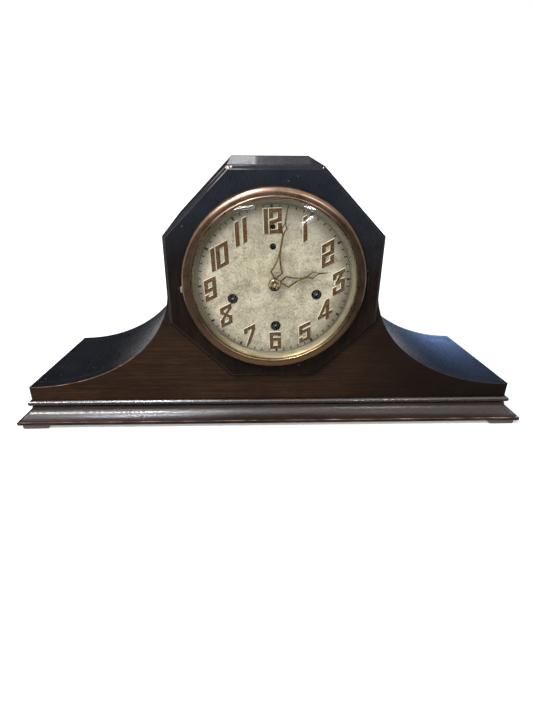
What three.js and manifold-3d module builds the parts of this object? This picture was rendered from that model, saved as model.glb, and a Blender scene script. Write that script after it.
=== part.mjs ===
// Tambour mantel clock: a wooden case with an octagonal head and swept shoulders, its hinged bezel,
// the dial and hands, a three-train chiming movement, chime rods with their hammers, and a back door.
// Millimetres. X runs along the clock, -Y is the front and +Z is up. The origin is the middle of the
// footprint, on the surface that the clock stands on.
import * as THREE from "three";
import { mergeVertices } from "three/addons/utils/BufferGeometryUtils.js";
import Module from "manifold-3d";

const wasm = await Module();
wasm.setup();

// Gaps
const seatGap = 0.3; // between pieces that are glued, screwed or laid together
const runningGap = 0.05; // radial clearance of a shaft in its hole
const freeGap = 0.6; // between pieces that pass each other
const cutOverrun = 1; // how far a cutter passes the face it opens
const weldDepth = 0.5; // how far two parts of one solid run into each other
const mergeTolerance = 0.001;

// Case
const bodyFrontWidth = 506.7;
const bodyTaperWidth = 19.15; // each end, from the front to the back
const endHeight = 15.5; // straight end above the plinth
const panelMarginWidth = 15.2; // panel beyond the bezel
const panelGroundHeight = 28.8; // from the plinth up to the panel
const shoulderDropHeight = 8.2; // top of the shoulder below the head's centre
const panelThickness = 4.7;
const panelBevelWidth = 2.6;
const frontBoardThickness = 12;
const backBoardThickness = 10;
const rearClearance = 8.4; // behind the chime work
const skinThickness = 6;
const headBoardThickness = 8;
const endBoardThickness = 14;

// Plinth and feet
const plinthHeight = 22.3;
const plinthEndOverhang = 11.05;
const plinthFrontOverhang = 15.2;
const plinthInset = 12; // how far the moulding runs in under the body
const beadRadius = 3.2;
const beadSetback = 0.8; // bead centre in front of the body face
const coveHeight = 11.1;
const plinthNoseHeight = 3.9; // upright edge under the cove
const plinthNoseShare = 1; // of the overhang, where the feet stand
const bottomBoardThickness = 12;
const footHeight = 4.5;
const footLength = 28;
const footWidth = 20;
const footSetback = 1.5;
const footChamfer = 2;

// Back door
const doorSideMargin = 31.6; // from the opening to the side of the head
const doorTopMargin = 46.6; // from the opening to the top of the head
const doorLap = 6; // how far the door covers the board round the opening
const doorThickness = 8;
const doorSlotWidth = 5;
const doorSlotHeight = 44;
const doorSlotPitch = 14;
const doorSlotsPerSide = 3; // slots on each side of the middle one
const doorHingeLength = 60;
const doorLeafThickness = 0.8;
const doorLeafWidth = 9;
const doorKnuckleRadius = 1.6;
const doorPinRadius = 0.8;
const knobRadius = 6;
const knobNeckRadius = 3;
const knobLength = 9;
const knobNeckLength = 3;
const knobCrownLength = 2.2;
const knobInset = 12; // knob centre from the door's free edge

// Bezel
const bezelBandWidth = 7.6; // from the crown out to the edge
const bezelLipWidth = 2.2; // from the crown in to the lip
const bezelHoleMargin = 7.4; // bezel beyond the hole that it covers
const bezelHeight = 8.6;
const bezelMetalThickness = 1.4;
const bezelLipOffset = 0.4; // lip behind the crown
const glassLapWidth = 1.6; // glass behind the lip
const glassThickness = 1.5;
const glassDomeHeight = 12.6;
const reflectorLapWidth = 2; // reflector over the dial's edge
const reflectorMetalThickness = 0.8;
const bezelPinRadius = 0.7;
const bezelKnuckleRadius = 1.4;
const bezelHingeLength = 16;
const bezelLeafWidth = 8;
const bezelLeafThickness = 0.7;
const bezelPinStandoff = 1.8; // pin axis in front of the panel
const tabWidth = 6;
const tabLength = 1.8;
const tabThickness = 1.2;
const tabTurn = 0.08; // radians below nine o'clock

// Dial
const dialPlateMargin = 7.5; // dial beyond the side of the movement's plates
const dialLipMargin = 1.1; // bezel's lip beyond the dial
const dialThickness = 1.2;
const dialStandoff = 2; // dial face in front of the panel face
const dialTwist = 0.048; // radians, anticlockwise seen from the front
const dialFootRadius = 2;
const dialFootInset = 15.5; // from the dial's edge
const dialFootShares = [0.182, 0.648, 0.978]; // of a turn from three o'clock
const numeralInset = 18.5; // middle of the numerals from the dial's edge
const numeralHeight = 21;
const numeralWidth = 10.4;
const numeralStrokeWidth = 2.8;
const numeralReliefHeight = 0.4;
const numeralGap = 2; // between the two figures of one hour
const elevenGap = 4.2;
const eyeletRadius = 4.3;
const eyeletHoleRadius = 3.1;
const eyeletReliefHeight = 0.5;
const smallEyeletRadius = 2.7;
const smallEyeletHoleRadius = 1.7;

// Hands
const minuteTipInset = 7.3; // from the dial's edge
const hourTipInset = 25.1;
const handThickness = 0.8;
const handWireWidth = 1.1;
const minuteBossRadius = 4.4;
const hourBossRadius = 5;
const minuteStandoff = 4; // back of the hand in front of the dial
const hourStandoff = 2.2;
const minuteAngle = 0.2; // radians clockwise from twelve
const hourAngle = 1.416;
const nutRadius = 5.4;
const nutLength = 4.2;
const nutCrownShares = [[0, 0], [0.7, 0.12], [1, 0.4]]; // radius and length, from the front

// Movement frame
const plateSideMargin = 4.81; // beyond the drum's arbor
const plateTopMargin = 4.8; // above the regulator
const plateBottomMargin = 20.5; // below the lower winding arbor
const plateThickness = 2;
const pillarRadius = 3;
const pillarInset = 8;
const tenonRadius = 2;

// Arbors, as seen from the front
const windingSpread = 39.7;
const windingDrop = 13.8;
const lowerWindingDrop = 43.5;
const regulatorRise = 51.2;
const selectorRise = 33.9;
const regulatorLeverLength = 3;
const selectorLeverLength = 4.5;
const escapeRise = 30;
const anchorRise = 48;
const strikeArborTurn = 1.745; // radians from three o'clock, about the left barrel
const drumArborTurn = -0.349; // the same, about the right barrel
const windingArborRadius = 2.4;
const windingSquareWidth = 3.6;
const arborRadius = 1.5;
const pivotRadius = 1.2;
const smallArborRadius = 1.2;

// Wheels
const wheelTeeth = 24;
const pinionTeeth = 6;
const greatRadius = 20;
const middleRadius = 18;
const centreRadius = 14.4;
const thirdRadius = 14.4;
const escapeRadius = 12;
const escapeTeeth = 20;
const escapeToothDepth = 3;
const motionTeeth = 18; // minute wheel
const motionPinionReach = 1; // motion pinion in front of the hour wheel
const cannonWallThickness = 0.5;
const pipeWallThickness = 0.75;
const motionStudSpread = 16.8; // centre arbor to the minute wheel's stud
const motionTurn = 2.356;
const wheelThickness = 1.5;
const pinionLength = 4;
const barrelRadius = 17;
const barrelLength = 22;
const ratchetRadius = 8;
const ratchetTeeth = 12;
const ratchetToothDepth = 1.5;
const strikeRadius = 14.4;

// Places along the arbors. Depths are from the front plate's back face, unless they say otherwise.
const greatDepth = 2;
const barrelClearance = 1.7; // from a barrel to the middle wheel
const centreClearance = 2; // from the middle wheel to the centre wheel
const thirdSetback = 6.5; // third wheel in front of the middle wheel
const escapeClearance = 1.25; // from the escape pinion to its wheel
const plateClearance = 3.8; // from the centre wheel to the back plate
const ratchetDepth = 7; // in front of the front plate
const leverDepth = 9; // the same
const hourWheelClearance = 3.6; // from the dial to the hour wheel
const motionClearance = 3.25; // from the hour wheel to the minute wheel

// Escapement and pendulum
const palletClearance = 1.2;
const palletThickness = 2;
const anchorHubRadius = 3;
const crutchLength = 32;
const bobClearance = 13.5; // from the bob to the chime rods
const pendulumDepth = 9; // rod in the space behind the back plate
const rodRadius = 1;
const bobRadius = 18;
const bobThickness = 7;
const bobShoulderShare = 0.7; // of the radius, where the lens starts to thin
const bobSwellShare = 0.8; // of the half thickness, there
const cockLength = 14;
const cockWidth = 12;

// Chime
const hammerCount = 4;
const hammerPitch = 11;
const firstHammerDepth = 10; // behind the back plate
const drumRadius = 9;
const drumCoreRadius = 5;
const drumTeeth = 6;
const drumToothDepth = 2.25;
const drumDiscThickness = 3;
const hammerPivotOffset = 16.81; // right of the drum's arbor
const hammerPivotDrop = 17.65; // below the drum's arbor
const hammerShaftRadius = 1.5;
const hammerHubRadius = 3;
const hammerHeadRadius = 4.5;
const hammerHeadLength = 9;
const hammerArmWidth = 2.2;
const hammerThickness = 4;
const hammerReach = 20; // head left of its pivot
const hammerLift = 2; // head above its rod at rest
const chimeFrameThickness = 1.5;
const chimeRodHeight = 66; // chime rods above the surface
const chimeRodRadius = 1.6;
const chimeRodLength = 160;
const chimeRodStep = 8;
const gongBlockWidth = 20;
const gongBlockOffset = 4; // right of the hammers' pivot
const gongBlockHeadHeight = 8; // above the rods

// Smoothness
const ringSides = 48;
const drumSides = 20;
const holeSides = 12;
const pinSides = 12;
const arborSides = 8;
const shoulderSteps = 12;
const coveSteps = 5;
const beadSteps = 5;
const crownSteps = 3;
const domeSteps = 3;

// Tooth form: shares of the module, and of the pitch
const addendumShare = 0.8;
const dedendumShare = 1.2;
const toothRootShare = 0.27;
const toothTipShare = 0.09;

// Angles
const fullTurn = Math.PI * 2;
const halfTurn = Math.PI;
const quarterTurn = Math.PI / 2;

// The arbors about the dial's centre: to the right of it, and above it
const greatDistance = greatRadius + pinionOf(greatRadius);
const arborPlaces = trainPlaces();
const motionPlace = polar(motionStudSpread, motionTurn);
const hammerPivot = [arborPlaces.drum[0] + hammerPivotOffset, arborPlaces.drum[1] - hammerPivotDrop];

// Sizes that follow: the plates from the arbors, the dial from the plates, and so outwards
const plateHalfWidth = arborPlaces.drum[0] + plateSideMargin;
const plateTop = regulatorRise + plateTopMargin;
const plateBottom = lowerWindingDrop + plateBottomMargin;
const dialRadius = plateHalfWidth + dialPlateMargin;
const numeralRing = dialRadius - numeralInset;
const minuteLength = dialRadius - minuteTipInset;
const hourLength = dialRadius - hourTipInset;
const dialFootRing = dialRadius - dialFootInset;
const bezelLipRadius = dialRadius + dialLipMargin;
const bezelCrownRadius = bezelLipRadius + bezelLipWidth;
const bezelRadius = bezelCrownRadius + bezelBandWidth;
const glassRadius = bezelLipRadius + glassLapWidth;
const reflectorInnerRadius = dialRadius - reflectorLapWidth;
const dialHoleRadius = bezelRadius - bezelHoleMargin;
const headHalf = bezelRadius + panelMarginWidth;
const doorOpeningWidth = 2 * (headHalf - doorSideMargin);
const doorOpeningHeight = 2 * (headHalf - doorTopMargin);
const doorWidth = doorOpeningWidth + 2 * doorLap;
const doorHeight = doorOpeningHeight + 2 * doorLap;

// Heights
const bodyBottomZ = footHeight + plinthHeight;
const boardBottomZ = bodyBottomZ + seatGap;
const endTopZ = bodyBottomZ + endHeight;
const headCentreZ = bodyBottomZ + panelGroundHeight + headHalf;
const shoulderTopZ = headCentreZ - shoulderDropHeight;
const gongBlockLeft = hammerPivot[0] + gongBlockOffset;
const bobZ = chimeRodHeight + chimeRodRadius + bobClearance + bobRadius;

// Depths, from the face of the octagonal panel
const bodyFrontY = panelThickness + seatGap;
const frontBoardBackY = bodyFrontY + frontBoardThickness;
const frontPlateY = frontBoardBackY + seatGap;
const frontPlateBackY = frontPlateY + plateThickness;
const middleDepth = greatDepth + wheelThickness + barrelLength + barrelClearance;
const centreDepth = middleDepth + wheelThickness + centreClearance;
const thirdDepth = middleDepth - thirdSetback;
const escapeDepth = thirdDepth + (wheelThickness + pinionLength) / 2 + escapeClearance;
const backPlateY = frontPlateBackY + centreDepth + wheelThickness + plateClearance;
const backPlateBackY = backPlateY + plateThickness;
const chimeFrameY = backPlateBackY + seatGap;
const chimeFrameBackY = hammerY(hammerCount) + seatGap;
const backBoardFrontY = chimeFrameBackY + chimeFrameThickness + rearClearance;
const bodyBackY = backBoardFrontY + backBoardThickness;
const shellFrontY = frontBoardBackY + seatGap;
const shellBackY = backBoardFrontY - seatGap;
const doorFrontY = bodyBackY + seatGap;
const doorBackY = doorFrontY + doorThickness;
const knobBackY = doorBackY + seatGap + knobLength;
const dialFrontY = -dialStandoff;
const dialBackY = dialFrontY + dialThickness;
const hourWheelY = dialBackY + hourWheelClearance;
const minuteWheelY = hourWheelY + wheelThickness + motionClearance;
const cannonBackY = minuteWheelY + (wheelThickness + pinionLength) / 2;
const motionPinionY = hourWheelY - motionPinionReach;
const hourFrontY = dialFrontY - hourStandoff - handThickness;
const minuteFrontY = dialFrontY - minuteStandoff - handThickness;
const nutFrontY = minuteFrontY - seatGap - nutLength;
const glassSeatY = -bezelHeight + bezelMetalThickness + seatGap;
const glassFrontY = glassSeatY - glassDomeHeight;

// A point at a distance and an angle from another.
function polar(distance, turn, [u, v] = [0, 0]) {
  return [u + distance * Math.cos(turn), v + distance * Math.sin(turn)];
}

// Where each arbor stands: wheels that mesh are their pitch radii apart.
function trainPlaces() {
  const strike = [-windingSpread, -windingDrop];
  const time = [0, -lowerWindingDrop];
  const chime = [windingSpread, -windingDrop];
  const middleDistance = middleRadius + pinionOf(middleRadius);
  const thirdDistance = centreRadius + pinionOf(centreRadius);
  const escapeDistance = thirdRadius + pinionOf(thirdRadius);
  return {
    strike,
    time,
    chime,
    middle: arborBetween([0, 0], middleDistance, time, greatDistance),
    third: arborBetween([0, 0], thirdDistance, [0, escapeRise], escapeDistance),
    escape: [0, escapeRise],
    anchor: [0, anchorRise],
    strikeWheel: polar(greatDistance, strikeArborTurn, strike),
    drum: polar(greatDistance, drumArborTurn, chime),
  };
}

// The arbor at given distances from two others on the dial's upright line, on its left.
function arborBetween([, v0], distance0, [, v1], distance1) {
  const apart = v1 - v0;
  const along = (distance0 ** 2 - distance1 ** 2 + apart ** 2) / (2 * apart);
  return [-Math.sqrt(distance0 ** 2 - along ** 2), v0 + along];
}

// Half the body's width at a depth
function halfWidthAt(y) {
  const taper = bodyTaperWidth / (bodyBackY - bodyFrontY);
  return bodyFrontWidth / 2 - taper * (y - bodyFrontY);
}

// Materials

const blackWood = () => finish("#1d1a20", 0.35, 0);
const brownWood = () => finish("#3a2118", 0.4, 0);
const innerWood = () => finish("#8a6842", 0.75, 0);
const copperBrass = () => finish("#8f6a48", 0.35, 1);
const paleBrass = () => finish("#d8cba0", 0.25, 1);
const plateBrass = () => finish("#b8964e", 0.4, 1);
const wheelBrass = () => finish("#c8a558", 0.35, 1);
const handBrass = () => finish("#6b5430", 0.45, 1);
const steel = () => finish("#8d9094", 0.35, 1);
const castIron = () => finish("#3b3c3e", 0.7, 1);
const silveredDial = () => finish("#cfc8b4", 0.5, 0.2);
const clearGlass = () => finish("#e8eeee", 0.05, 0);

function finish(color, roughness, metalness) {
  return new THREE.MeshStandardMaterial({ color, roughness, metalness });
}

// Shapes

// One closed surface: shared corners merged, flat triangles dropped, faces turned outwards.
function closed(geometry) {
  const bare = new THREE.BufferGeometry();
  bare.setAttribute("position", geometry.getAttribute("position"));
  bare.setIndex(geometry.getIndex());
  const merged = mergeVertices(bare, mergeTolerance);
  const places = merged.getAttribute("position");
  const corner = (i) => new THREE.Vector3().fromBufferAttribute(places, i);
  const old = merged.getIndex().array;
  const kept = [];
  let volume = 0;
  for (let i = 0; i < old.length; i += 3) {
    const [a, b, c] = [old[i], old[i + 1], old[i + 2]];
    if (a === b || b === c || c === a) continue;
    kept.push([a, b, c]);
    volume += corner(a).dot(corner(b).cross(corner(c)));
  }
  const faces = volume < 0 ? kept.map(([a, b, c]) => [a, c, b]) : kept;
  merged.setIndex(faces.flat());
  return merged;
}

function solidFrom(geometry) {
  const whole = closed(geometry);
  return new wasm.Manifold(
    new wasm.Mesh({
      numProp: 3,
      vertProperties: new Float32Array(whole.getAttribute("position").array),
      triVerts: new Uint32Array(whole.getIndex().array),
    }),
  );
}

function geometryFrom(solid) {
  const { vertProperties, triVerts } = solid.getMesh();
  const geometry = new THREE.BufferGeometry();
  geometry.setAttribute("position", new THREE.BufferAttribute(new Float32Array(vertProperties), 3));
  geometry.setIndex(new THREE.BufferAttribute(new Uint32Array(triVerts), 1));
  return geometry;
}

function join(...pieces) {
  return geometryFrom(pieces.map(solidFrom).reduce((whole, piece) => whole.add(piece)));
}

function cut(body, ...tools) {
  return geometryFrom(tools.map(solidFrom).reduce((rest, tool) => rest.subtract(tool), solidFrom(body)));
}

// A solid skinned through rings of points that correspond, with flat ends.
function skinned(rings) {
  const count = rings[0].length;
  const positions = rings.flat().flatMap((p) => [p.x, p.y, p.z]);
  const index = [];
  for (let r = 0; r + 1 < rings.length; r++) {
    for (let i = 0; i < count; i++) {
      const a = r * count + i;
      const b = r * count + ((i + 1) % count);
      index.push(a, b, b + count, a, b + count, a + count);
    }
  }
  const last = (rings.length - 1) * count;
  for (const [p, q, s] of flatFaces(rings[0])) index.push(p, s, q);
  for (const [p, q, s] of flatFaces(rings[rings.length - 1])) index.push(last + p, last + q, last + s);
  const geometry = new THREE.BufferGeometry();
  geometry.setAttribute("position", new THREE.Float32BufferAttribute(positions, 3));
  geometry.setIndex(index);
  return geometry;
}

// Triangles over a flat ring of points, all running the ring's own way round.
function flatFaces(ring) {
  const normal = new THREE.Vector3();
  ring.forEach((p, i) => {
    const q = ring[(i + 1) % ring.length];
    normal.x += (p.y - q.y) * (p.z + q.z);
    normal.y += (p.z - q.z) * (p.x + q.x);
    normal.z += (p.x - q.x) * (p.y + q.y);
  });
  const size = [Math.abs(normal.x), Math.abs(normal.y), Math.abs(normal.z)];
  const widest = size.indexOf(Math.max(...size));
  const views = [(p) => [p.y, p.z], (p) => [p.z, p.x], (p) => [p.x, p.y]];
  const flat = ring.map(views[widest]).map(flatPoint);
  const way = THREE.ShapeUtils.area(flat);
  return THREE.ShapeUtils.triangulateShape(flat, []).map(([a, b, c]) => {
    const same = THREE.ShapeUtils.area([flat[a], flat[b], flat[c]]) * way > 0;
    return same ? [a, b, c] : [a, c, b];
  });
}

const point = (x, y, z) => new THREE.Vector3(x, y, z);
const flatPoint = ([x, z]) => new THREE.Vector2(x, z);

// A plate whose outline is drawn in X and Z, from yFront towards the back.
function slab(outline, yFront, thickness, holes = []) {
  const shape = new THREE.Shape(outline.map(flatPoint));
  const geometry = new THREE.ExtrudeGeometry(shape, { depth: thickness, bevelEnabled: false });
  geometry.rotateX(quarterTurn);
  geometry.translate(0, yFront + thickness, 0);
  if (holes.length === 0) return geometry;
  const cutters = holes.map((hole) => slab(hole, yFront - cutOverrun, thickness + 2 * cutOverrun));
  return cut(geometry, ...cutters);
}

function block(x0, x1, y0, y1, z0, z1) {
  const geometry = new THREE.BoxGeometry(x1 - x0, y1 - y0, z1 - z0);
  geometry.translate((x0 + x1) / 2, (y0 + y1) / 2, (z0 + z1) / 2);
  return geometry;
}

// A turned piece about the Y axis, from points of radius and Y.
function turned(profile, sides) {
  return new THREE.LatheGeometry(profile.map(([r, y]) => new THREE.Vector2(r, y)), sides);
}

function shaft(radius, y0, y1, sides = arborSides) {
  return turned([[0, y0], [radius, y0], [radius, y1], [0, y1]], sides);
}

function uprightPin(radius, x, y, z0, z1) {
  const geometry = new THREE.CylinderGeometry(radius, radius, z1 - z0, pinSides);
  geometry.rotateX(quarterTurn);
  geometry.translate(x, y, (z0 + z1) / 2);
  return geometry;
}

function levelPin(radius, x0, x1, y, z) {
  const geometry = new THREE.CylinderGeometry(radius, radius, x1 - x0, arborSides);
  geometry.rotateZ(quarterTurn);
  geometry.translate((x0 + x1) / 2, y, z);
  return geometry;
}

function circle(radius, sides, u = 0, v = 0) {
  return Array.from({ length: sides }, (_, i) => {
    const angle = (fullTurn * i) / sides;
    return [u + radius * Math.cos(angle), v + radius * Math.sin(angle)];
  });
}

// A hole whose flats clear a shaft of the given radius.
function bearing(radius, u = 0, v = 0) {
  return circle(boreRadius(radius, arborSides), arborSides, u, v);
}

// Corner radius of a bore whose flats clear a shaft of the given radius.
function boreRadius(radius, sides) {
  return (radius + runningGap) / Math.cos(halfTurn / sides);
}

function rectangle(x0, x1, z0, z1) {
  return [[x0, z0], [x1, z0], [x1, z1], [x0, z1]];
}

// A straight bar between two points, as an outline.
function bar([x0, z0], [x1, z1], width) {
  const length = Math.hypot(x1 - x0, z1 - z0);
  const dx = ((z1 - z0) / length) * (width / 2);
  const dz = ((x1 - x0) / length) * (width / 2);
  return [[x0 + dx, z0 - dz], [x1 + dx, z1 - dz], [x1 - dx, z1 + dz], [x0 - dx, z0 + dz]];
}

// A convex outline moved inwards by a distance.
function inset(outline, distance) {
  const way = Math.sign(THREE.ShapeUtils.area(outline.map(flatPoint)));
  const lines = outline.map(([x0, z0], i) => {
    const [x1, z1] = outline[(i + 1) % outline.length];
    const length = Math.hypot(x1 - x0, z1 - z0);
    const normal = [(-way * (z1 - z0)) / length, (way * (x1 - x0)) / length];
    return { normal, level: normal[0] * x0 + normal[1] * z0 + distance };
  });
  return lines.map((next, i) => {
    const last = lines[(i + lines.length - 1) % lines.length];
    const cross = last.normal[0] * next.normal[1] - last.normal[1] * next.normal[0];
    const x = (last.level * next.normal[1] - next.level * last.normal[1]) / cross;
    const z = (last.normal[0] * next.level - next.normal[0] * last.level) / cross;
    return [x, z];
  });
}

// Toothed outline with a tooth centred on the given angle.
function gearOutline(teeth, pitchRadius, toothAngle = 0) {
  const unit = (2 * pitchRadius) / teeth;
  const root = pitchRadius - dedendumShare * unit;
  const tip = pitchRadius + addendumShare * unit;
  const step = fullTurn / teeth;
  const corners = [
    [root, -toothRootShare],
    [tip, -toothTipShare],
    [tip, toothTipShare],
    [root, toothRootShare],
  ];
  const outline = [];
  for (let k = 0; k < teeth; k++) {
    for (const [radius, share] of corners) {
      const angle = toothAngle + (k + share) * step;
      outline.push([radius * Math.cos(angle), radius * Math.sin(angle)]);
    }
  }
  return outline;
}

// Saw teeth, all leaning one way.
function sawOutline(teeth, tipRadius, depth) {
  const step = fullTurn / teeth;
  const outline = [];
  for (let k = 0; k < teeth; k++) {
    outline.push([tipRadius * Math.cos(k * step), tipRadius * Math.sin(k * step)]);
    const angle = (k + toothTipShare) * step;
    outline.push([(tipRadius - depth) * Math.cos(angle), (tipRadius - depth) * Math.sin(angle)]);
  }
  return outline;
}

// Case: the outlines of the head and the body

function octagon(half) {
  const corner = half * Math.tan(halfTurn / 8);
  return [
    [half, -corner], [half, corner], [corner, half], [-corner, half],
    [-half, corner], [-half, -corner], [-corner, -half], [corner, -half],
  ].map(([x, z]) => [x, z + headCentreZ]);
}

// Right shoulder from the head down to the end, moved inwards by a depth.
function shoulderCurve(halfWidth, depth = 0) {
  const across = halfWidth - headHalf + depth;
  const down = shoulderTopZ - endTopZ + depth;
  return Array.from({ length: shoulderSteps + 1 }, (_, i) => {
    const angle = (quarterTurn * i) / shoulderSteps;
    return [halfWidth - across * Math.cos(angle), shoulderTopZ - down * Math.sin(angle)];
  });
}

function bodyOutline(halfWidth) {
  const corner = headHalf * Math.tan(halfTurn / 8);
  const right = [
    [corner, headCentreZ + headHalf],
    [headHalf, headCentreZ + corner],
    ...shoulderCurve(halfWidth),
    [halfWidth, boardBottomZ],
  ];
  return [...right, ...right.map(([x, z]) => [-x, z]).reverse()];
}

function bodyBoard(yFront, yBack) {
  const ring = (y) => bodyOutline(halfWidthAt(y)).map(([x, z]) => point(x, y, z));
  return skinned([ring(yFront), ring(yBack)]);
}

function dialHoleCutter(yFront, yBack) {
  const hole = shaft(dialHoleRadius, yFront - cutOverrun, yBack + cutOverrun, ringSides);
  hole.translate(0, 0, headCentreZ);
  return hole;
}

function frontBoard() {
  return cut(bodyBoard(bodyFrontY, frontBoardBackY), dialHoleCutter(bodyFrontY, frontBoardBackY));
}

// Pocket that lets the hinge leaf of the bezel lie flush with the panel.
function bezelLeafPocket() {
  const half = bezelHingeLength / 2 + seatGap;
  const x0 = dialHoleRadius - cutOverrun;
  const x1 = bezelPinX() + bezelKnuckleRadius + seatGap;
  const y1 = bezelLeafThickness + seatGap;
  return block(x0, x1, -cutOverrun, y1, headCentreZ - half, headCentreZ + half);
}

function octagonPanel() {
  const outer = octagon(headHalf);
  const ring = (outline, y) => outline.map(([x, z]) => point(x, y, z));
  const board = skinned([
    ring(inset(outer, panelBevelWidth), 0),
    ring(outer, panelBevelWidth),
    ring(outer, panelThickness),
  ]);
  return cut(board, dialHoleCutter(0, panelThickness), bezelLeafPocket());
}

function backBoard() {
  const half = doorOpeningWidth / 2;
  const opening = block(
    -half, half,
    backBoardFrontY - cutOverrun, bodyBackY + cutOverrun,
    headCentreZ - doorOpeningHeight / 2, headCentreZ + doorOpeningHeight / 2,
  );
  return cut(bodyBoard(backBoardFrontY, bodyBackY), opening);
}

// Bent skin of a shoulder between the front and the back board.
function shoulderSkin(side) {
  const ring = (y) => {
    const halfWidth = halfWidthAt(y);
    const outer = shoulderCurve(halfWidth);
    const inner = shoulderCurve(halfWidth, skinThickness).reverse();
    return [...outer, ...inner].map(([x, z]) => point(side * x, y, z));
  };
  return skinned([ring(shellFrontY), ring(shellBackY)]);
}

function endBoard(side) {
  const top = endTopZ - skinThickness - seatGap;
  const ring = (y) => {
    const outer = side * halfWidthAt(y);
    const inner = outer - side * endBoardThickness;
    return rectangle(inner, outer, boardBottomZ, top).map(([x, z]) => point(x, y, z));
  };
  return skinned([ring(shellFrontY), ring(shellBackY)]);
}

// A board of the head between two corners of the octagon, cut back for the glue line.
function headBoard(from, to) {
  const inward = ([x, z]) => {
    const share = (headHalf - headBoardThickness) / headHalf;
    return [x * share, headCentreZ + (z - headCentreZ) * share];
  };
  const towards = ([x0, z0], [x1, z1]) => {
    const length = Math.hypot(x1 - x0, z1 - z0);
    return [x0 + ((x1 - x0) / length) * (seatGap / 2), z0 + ((z1 - z0) / length) * (seatGap / 2)];
  };
  const [innerFrom, innerTo] = [inward(from), inward(to)];
  const outline = [
    towards(from, to),
    towards(to, from),
    towards(innerTo, innerFrom),
    towards(innerFrom, innerTo),
  ];
  return slab(outline, shellFrontY, shellBackY - shellFrontY);
}

// Upright board of the head, from the shoulder's top to the corner above it.
function headWall(side) {
  const corner = headHalf * Math.tan(halfTurn / 8);
  const inner = headHalf - headBoardThickness;
  const innerCorner = inner * Math.tan(halfTurn / 8);
  const outline = [
    [side * headHalf, shoulderTopZ + seatGap],
    [side * headHalf, headCentreZ + corner - seatGap / 2],
    [side * inner, headCentreZ + innerCorner - seatGap / 2],
    [side * inner, shoulderTopZ + seatGap],
  ];
  return slab(outline, shellFrontY, shellBackY - shellFrontY);
}

// Plinth

// Moulding section as a share of the overhang and a height.
function mouldingProfile() {
  const bottom = footHeight + seatGap;
  const beadTop = bodyBottomZ;
  const beadZ = beadTop - beadRadius;
  const profile = [[-plinthInset, bottom], [-plinthInset, beadTop]];
  for (let i = 0; i <= beadSteps; i++) {
    const angle = quarterTurn - (halfTurn * i) / beadSteps;
    profile.push([beadSetback + beadRadius * Math.cos(angle), beadZ + beadRadius * Math.sin(angle)]);
  }
  const coveTop = bottom + plinthNoseHeight + coveHeight;
  const coveReach = plinthFrontOverhang - beadSetback;
  for (let i = 0; i <= coveSteps; i++) {
    const angle = (quarterTurn * i) / coveSteps;
    const out = plinthFrontOverhang - coveReach * Math.cos(angle);
    profile.push([out, coveTop - coveHeight * Math.sin(angle)]);
  }
  profile.push([plinthFrontOverhang, bottom]);
  return profile.map(([out, z]) => ({ share: out / plinthFrontOverhang, z }));
}

function plinthOutY(share) {
  return bodyFrontY - share * plinthFrontOverhang;
}

function plinthOutX(share, y) {
  return halfWidthAt(y) + share * plinthEndOverhang;
}

function plinthFront() {
  const ring = (side) =>
    mouldingProfile().map(({ share, z }) => {
      const y = plinthOutY(share);
      return point(side * (plinthOutX(share, y) - seatGap), y, z);
    });
  return skinned([ring(-1), ring(1)]);
}

function plinthSide(side) {
  const ring = (yAt) =>
    mouldingProfile().map(({ share, z }) => {
      const y = yAt(share);
      return point(side * plinthOutX(share, y), y, z);
    });
  return skinned([ring((share) => plinthOutY(share) + seatGap), ring(() => bodyBackY)]);
}

function bottomBoard() {
  const insetShare = -plinthInset / plinthFrontOverhang;
  const y0 = plinthOutY(insetShare) + seatGap;
  const ring = (z) => [
    point(-plinthOutX(insetShare, y0) + seatGap, y0, z),
    point(plinthOutX(insetShare, y0) - seatGap, y0, z),
    point(plinthOutX(insetShare, bodyBackY) - seatGap, bodyBackY, z),
    point(-plinthOutX(insetShare, bodyBackY) + seatGap, bodyBackY, z),
  ];
  return skinned([ring(bodyBottomZ - bottomBoardThickness), ring(bodyBottomZ)]);
}

// A front foot lies along the front edge, a back foot along the end.
function foot(side, isFront) {
  const frontY = plinthOutY(plinthNoseShare) + footSetback;
  const backY = bodyBackY - footSetback;
  const [y0, y1] = isFront ? [frontY, frontY + footWidth] : [backY - footLength, backY];
  const length = isFront ? footLength : footWidth;
  const outer = plinthOutX(plinthNoseShare, isFront ? y0 + footWidth : y1) - footSetback;
  const outline = [
    [outer, 0],
    [outer, footHeight],
    [outer - length, footHeight],
    [outer - length + footChamfer, 0],
  ].map(([x, z]) => [side * x, z]);
  return slab(outline, y0, y1 - y0);
}

// Back door

function doorPinX() {
  return -doorWidth / 2 - seatGap - doorLeafThickness - seatGap - doorKnuckleRadius;
}

function doorPinY() {
  return doorFrontY + doorKnuckleRadius;
}

function backDoor() {
  const half = doorWidth / 2;
  const low = headCentreZ - doorHeight / 2;
  const holes = [];
  for (let i = -doorSlotsPerSide; i <= doorSlotsPerSide; i++) {
    const [x, halfSlot] = [i * doorSlotPitch, doorSlotWidth / 2];
    const [z0, z1] = [headCentreZ - doorSlotHeight / 2, headCentreZ + doorSlotHeight / 2];
    holes.push(rectangle(x - halfSlot, x + halfSlot, z0, z1));
  }
  return slab(rectangle(-half, half, low, low + doorHeight), doorFrontY, doorThickness, holes);
}

function doorKnob() {
  const y0 = doorBackY + seatGap;
  const neckEnd = y0 + knobNeckLength;
  const profile = [
    [0, y0],
    [knobNeckRadius, y0],
    [knobNeckRadius, neckEnd],
    [knobRadius, neckEnd + knobCrownLength],
    [knobNeckRadius, y0 + knobLength],
    [0, y0 + knobLength],
  ];
  const knob = turned(profile, holeSides);
  knob.translate(doorWidth / 2 - knobInset, 0, headCentreZ);
  return knob;
}

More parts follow.
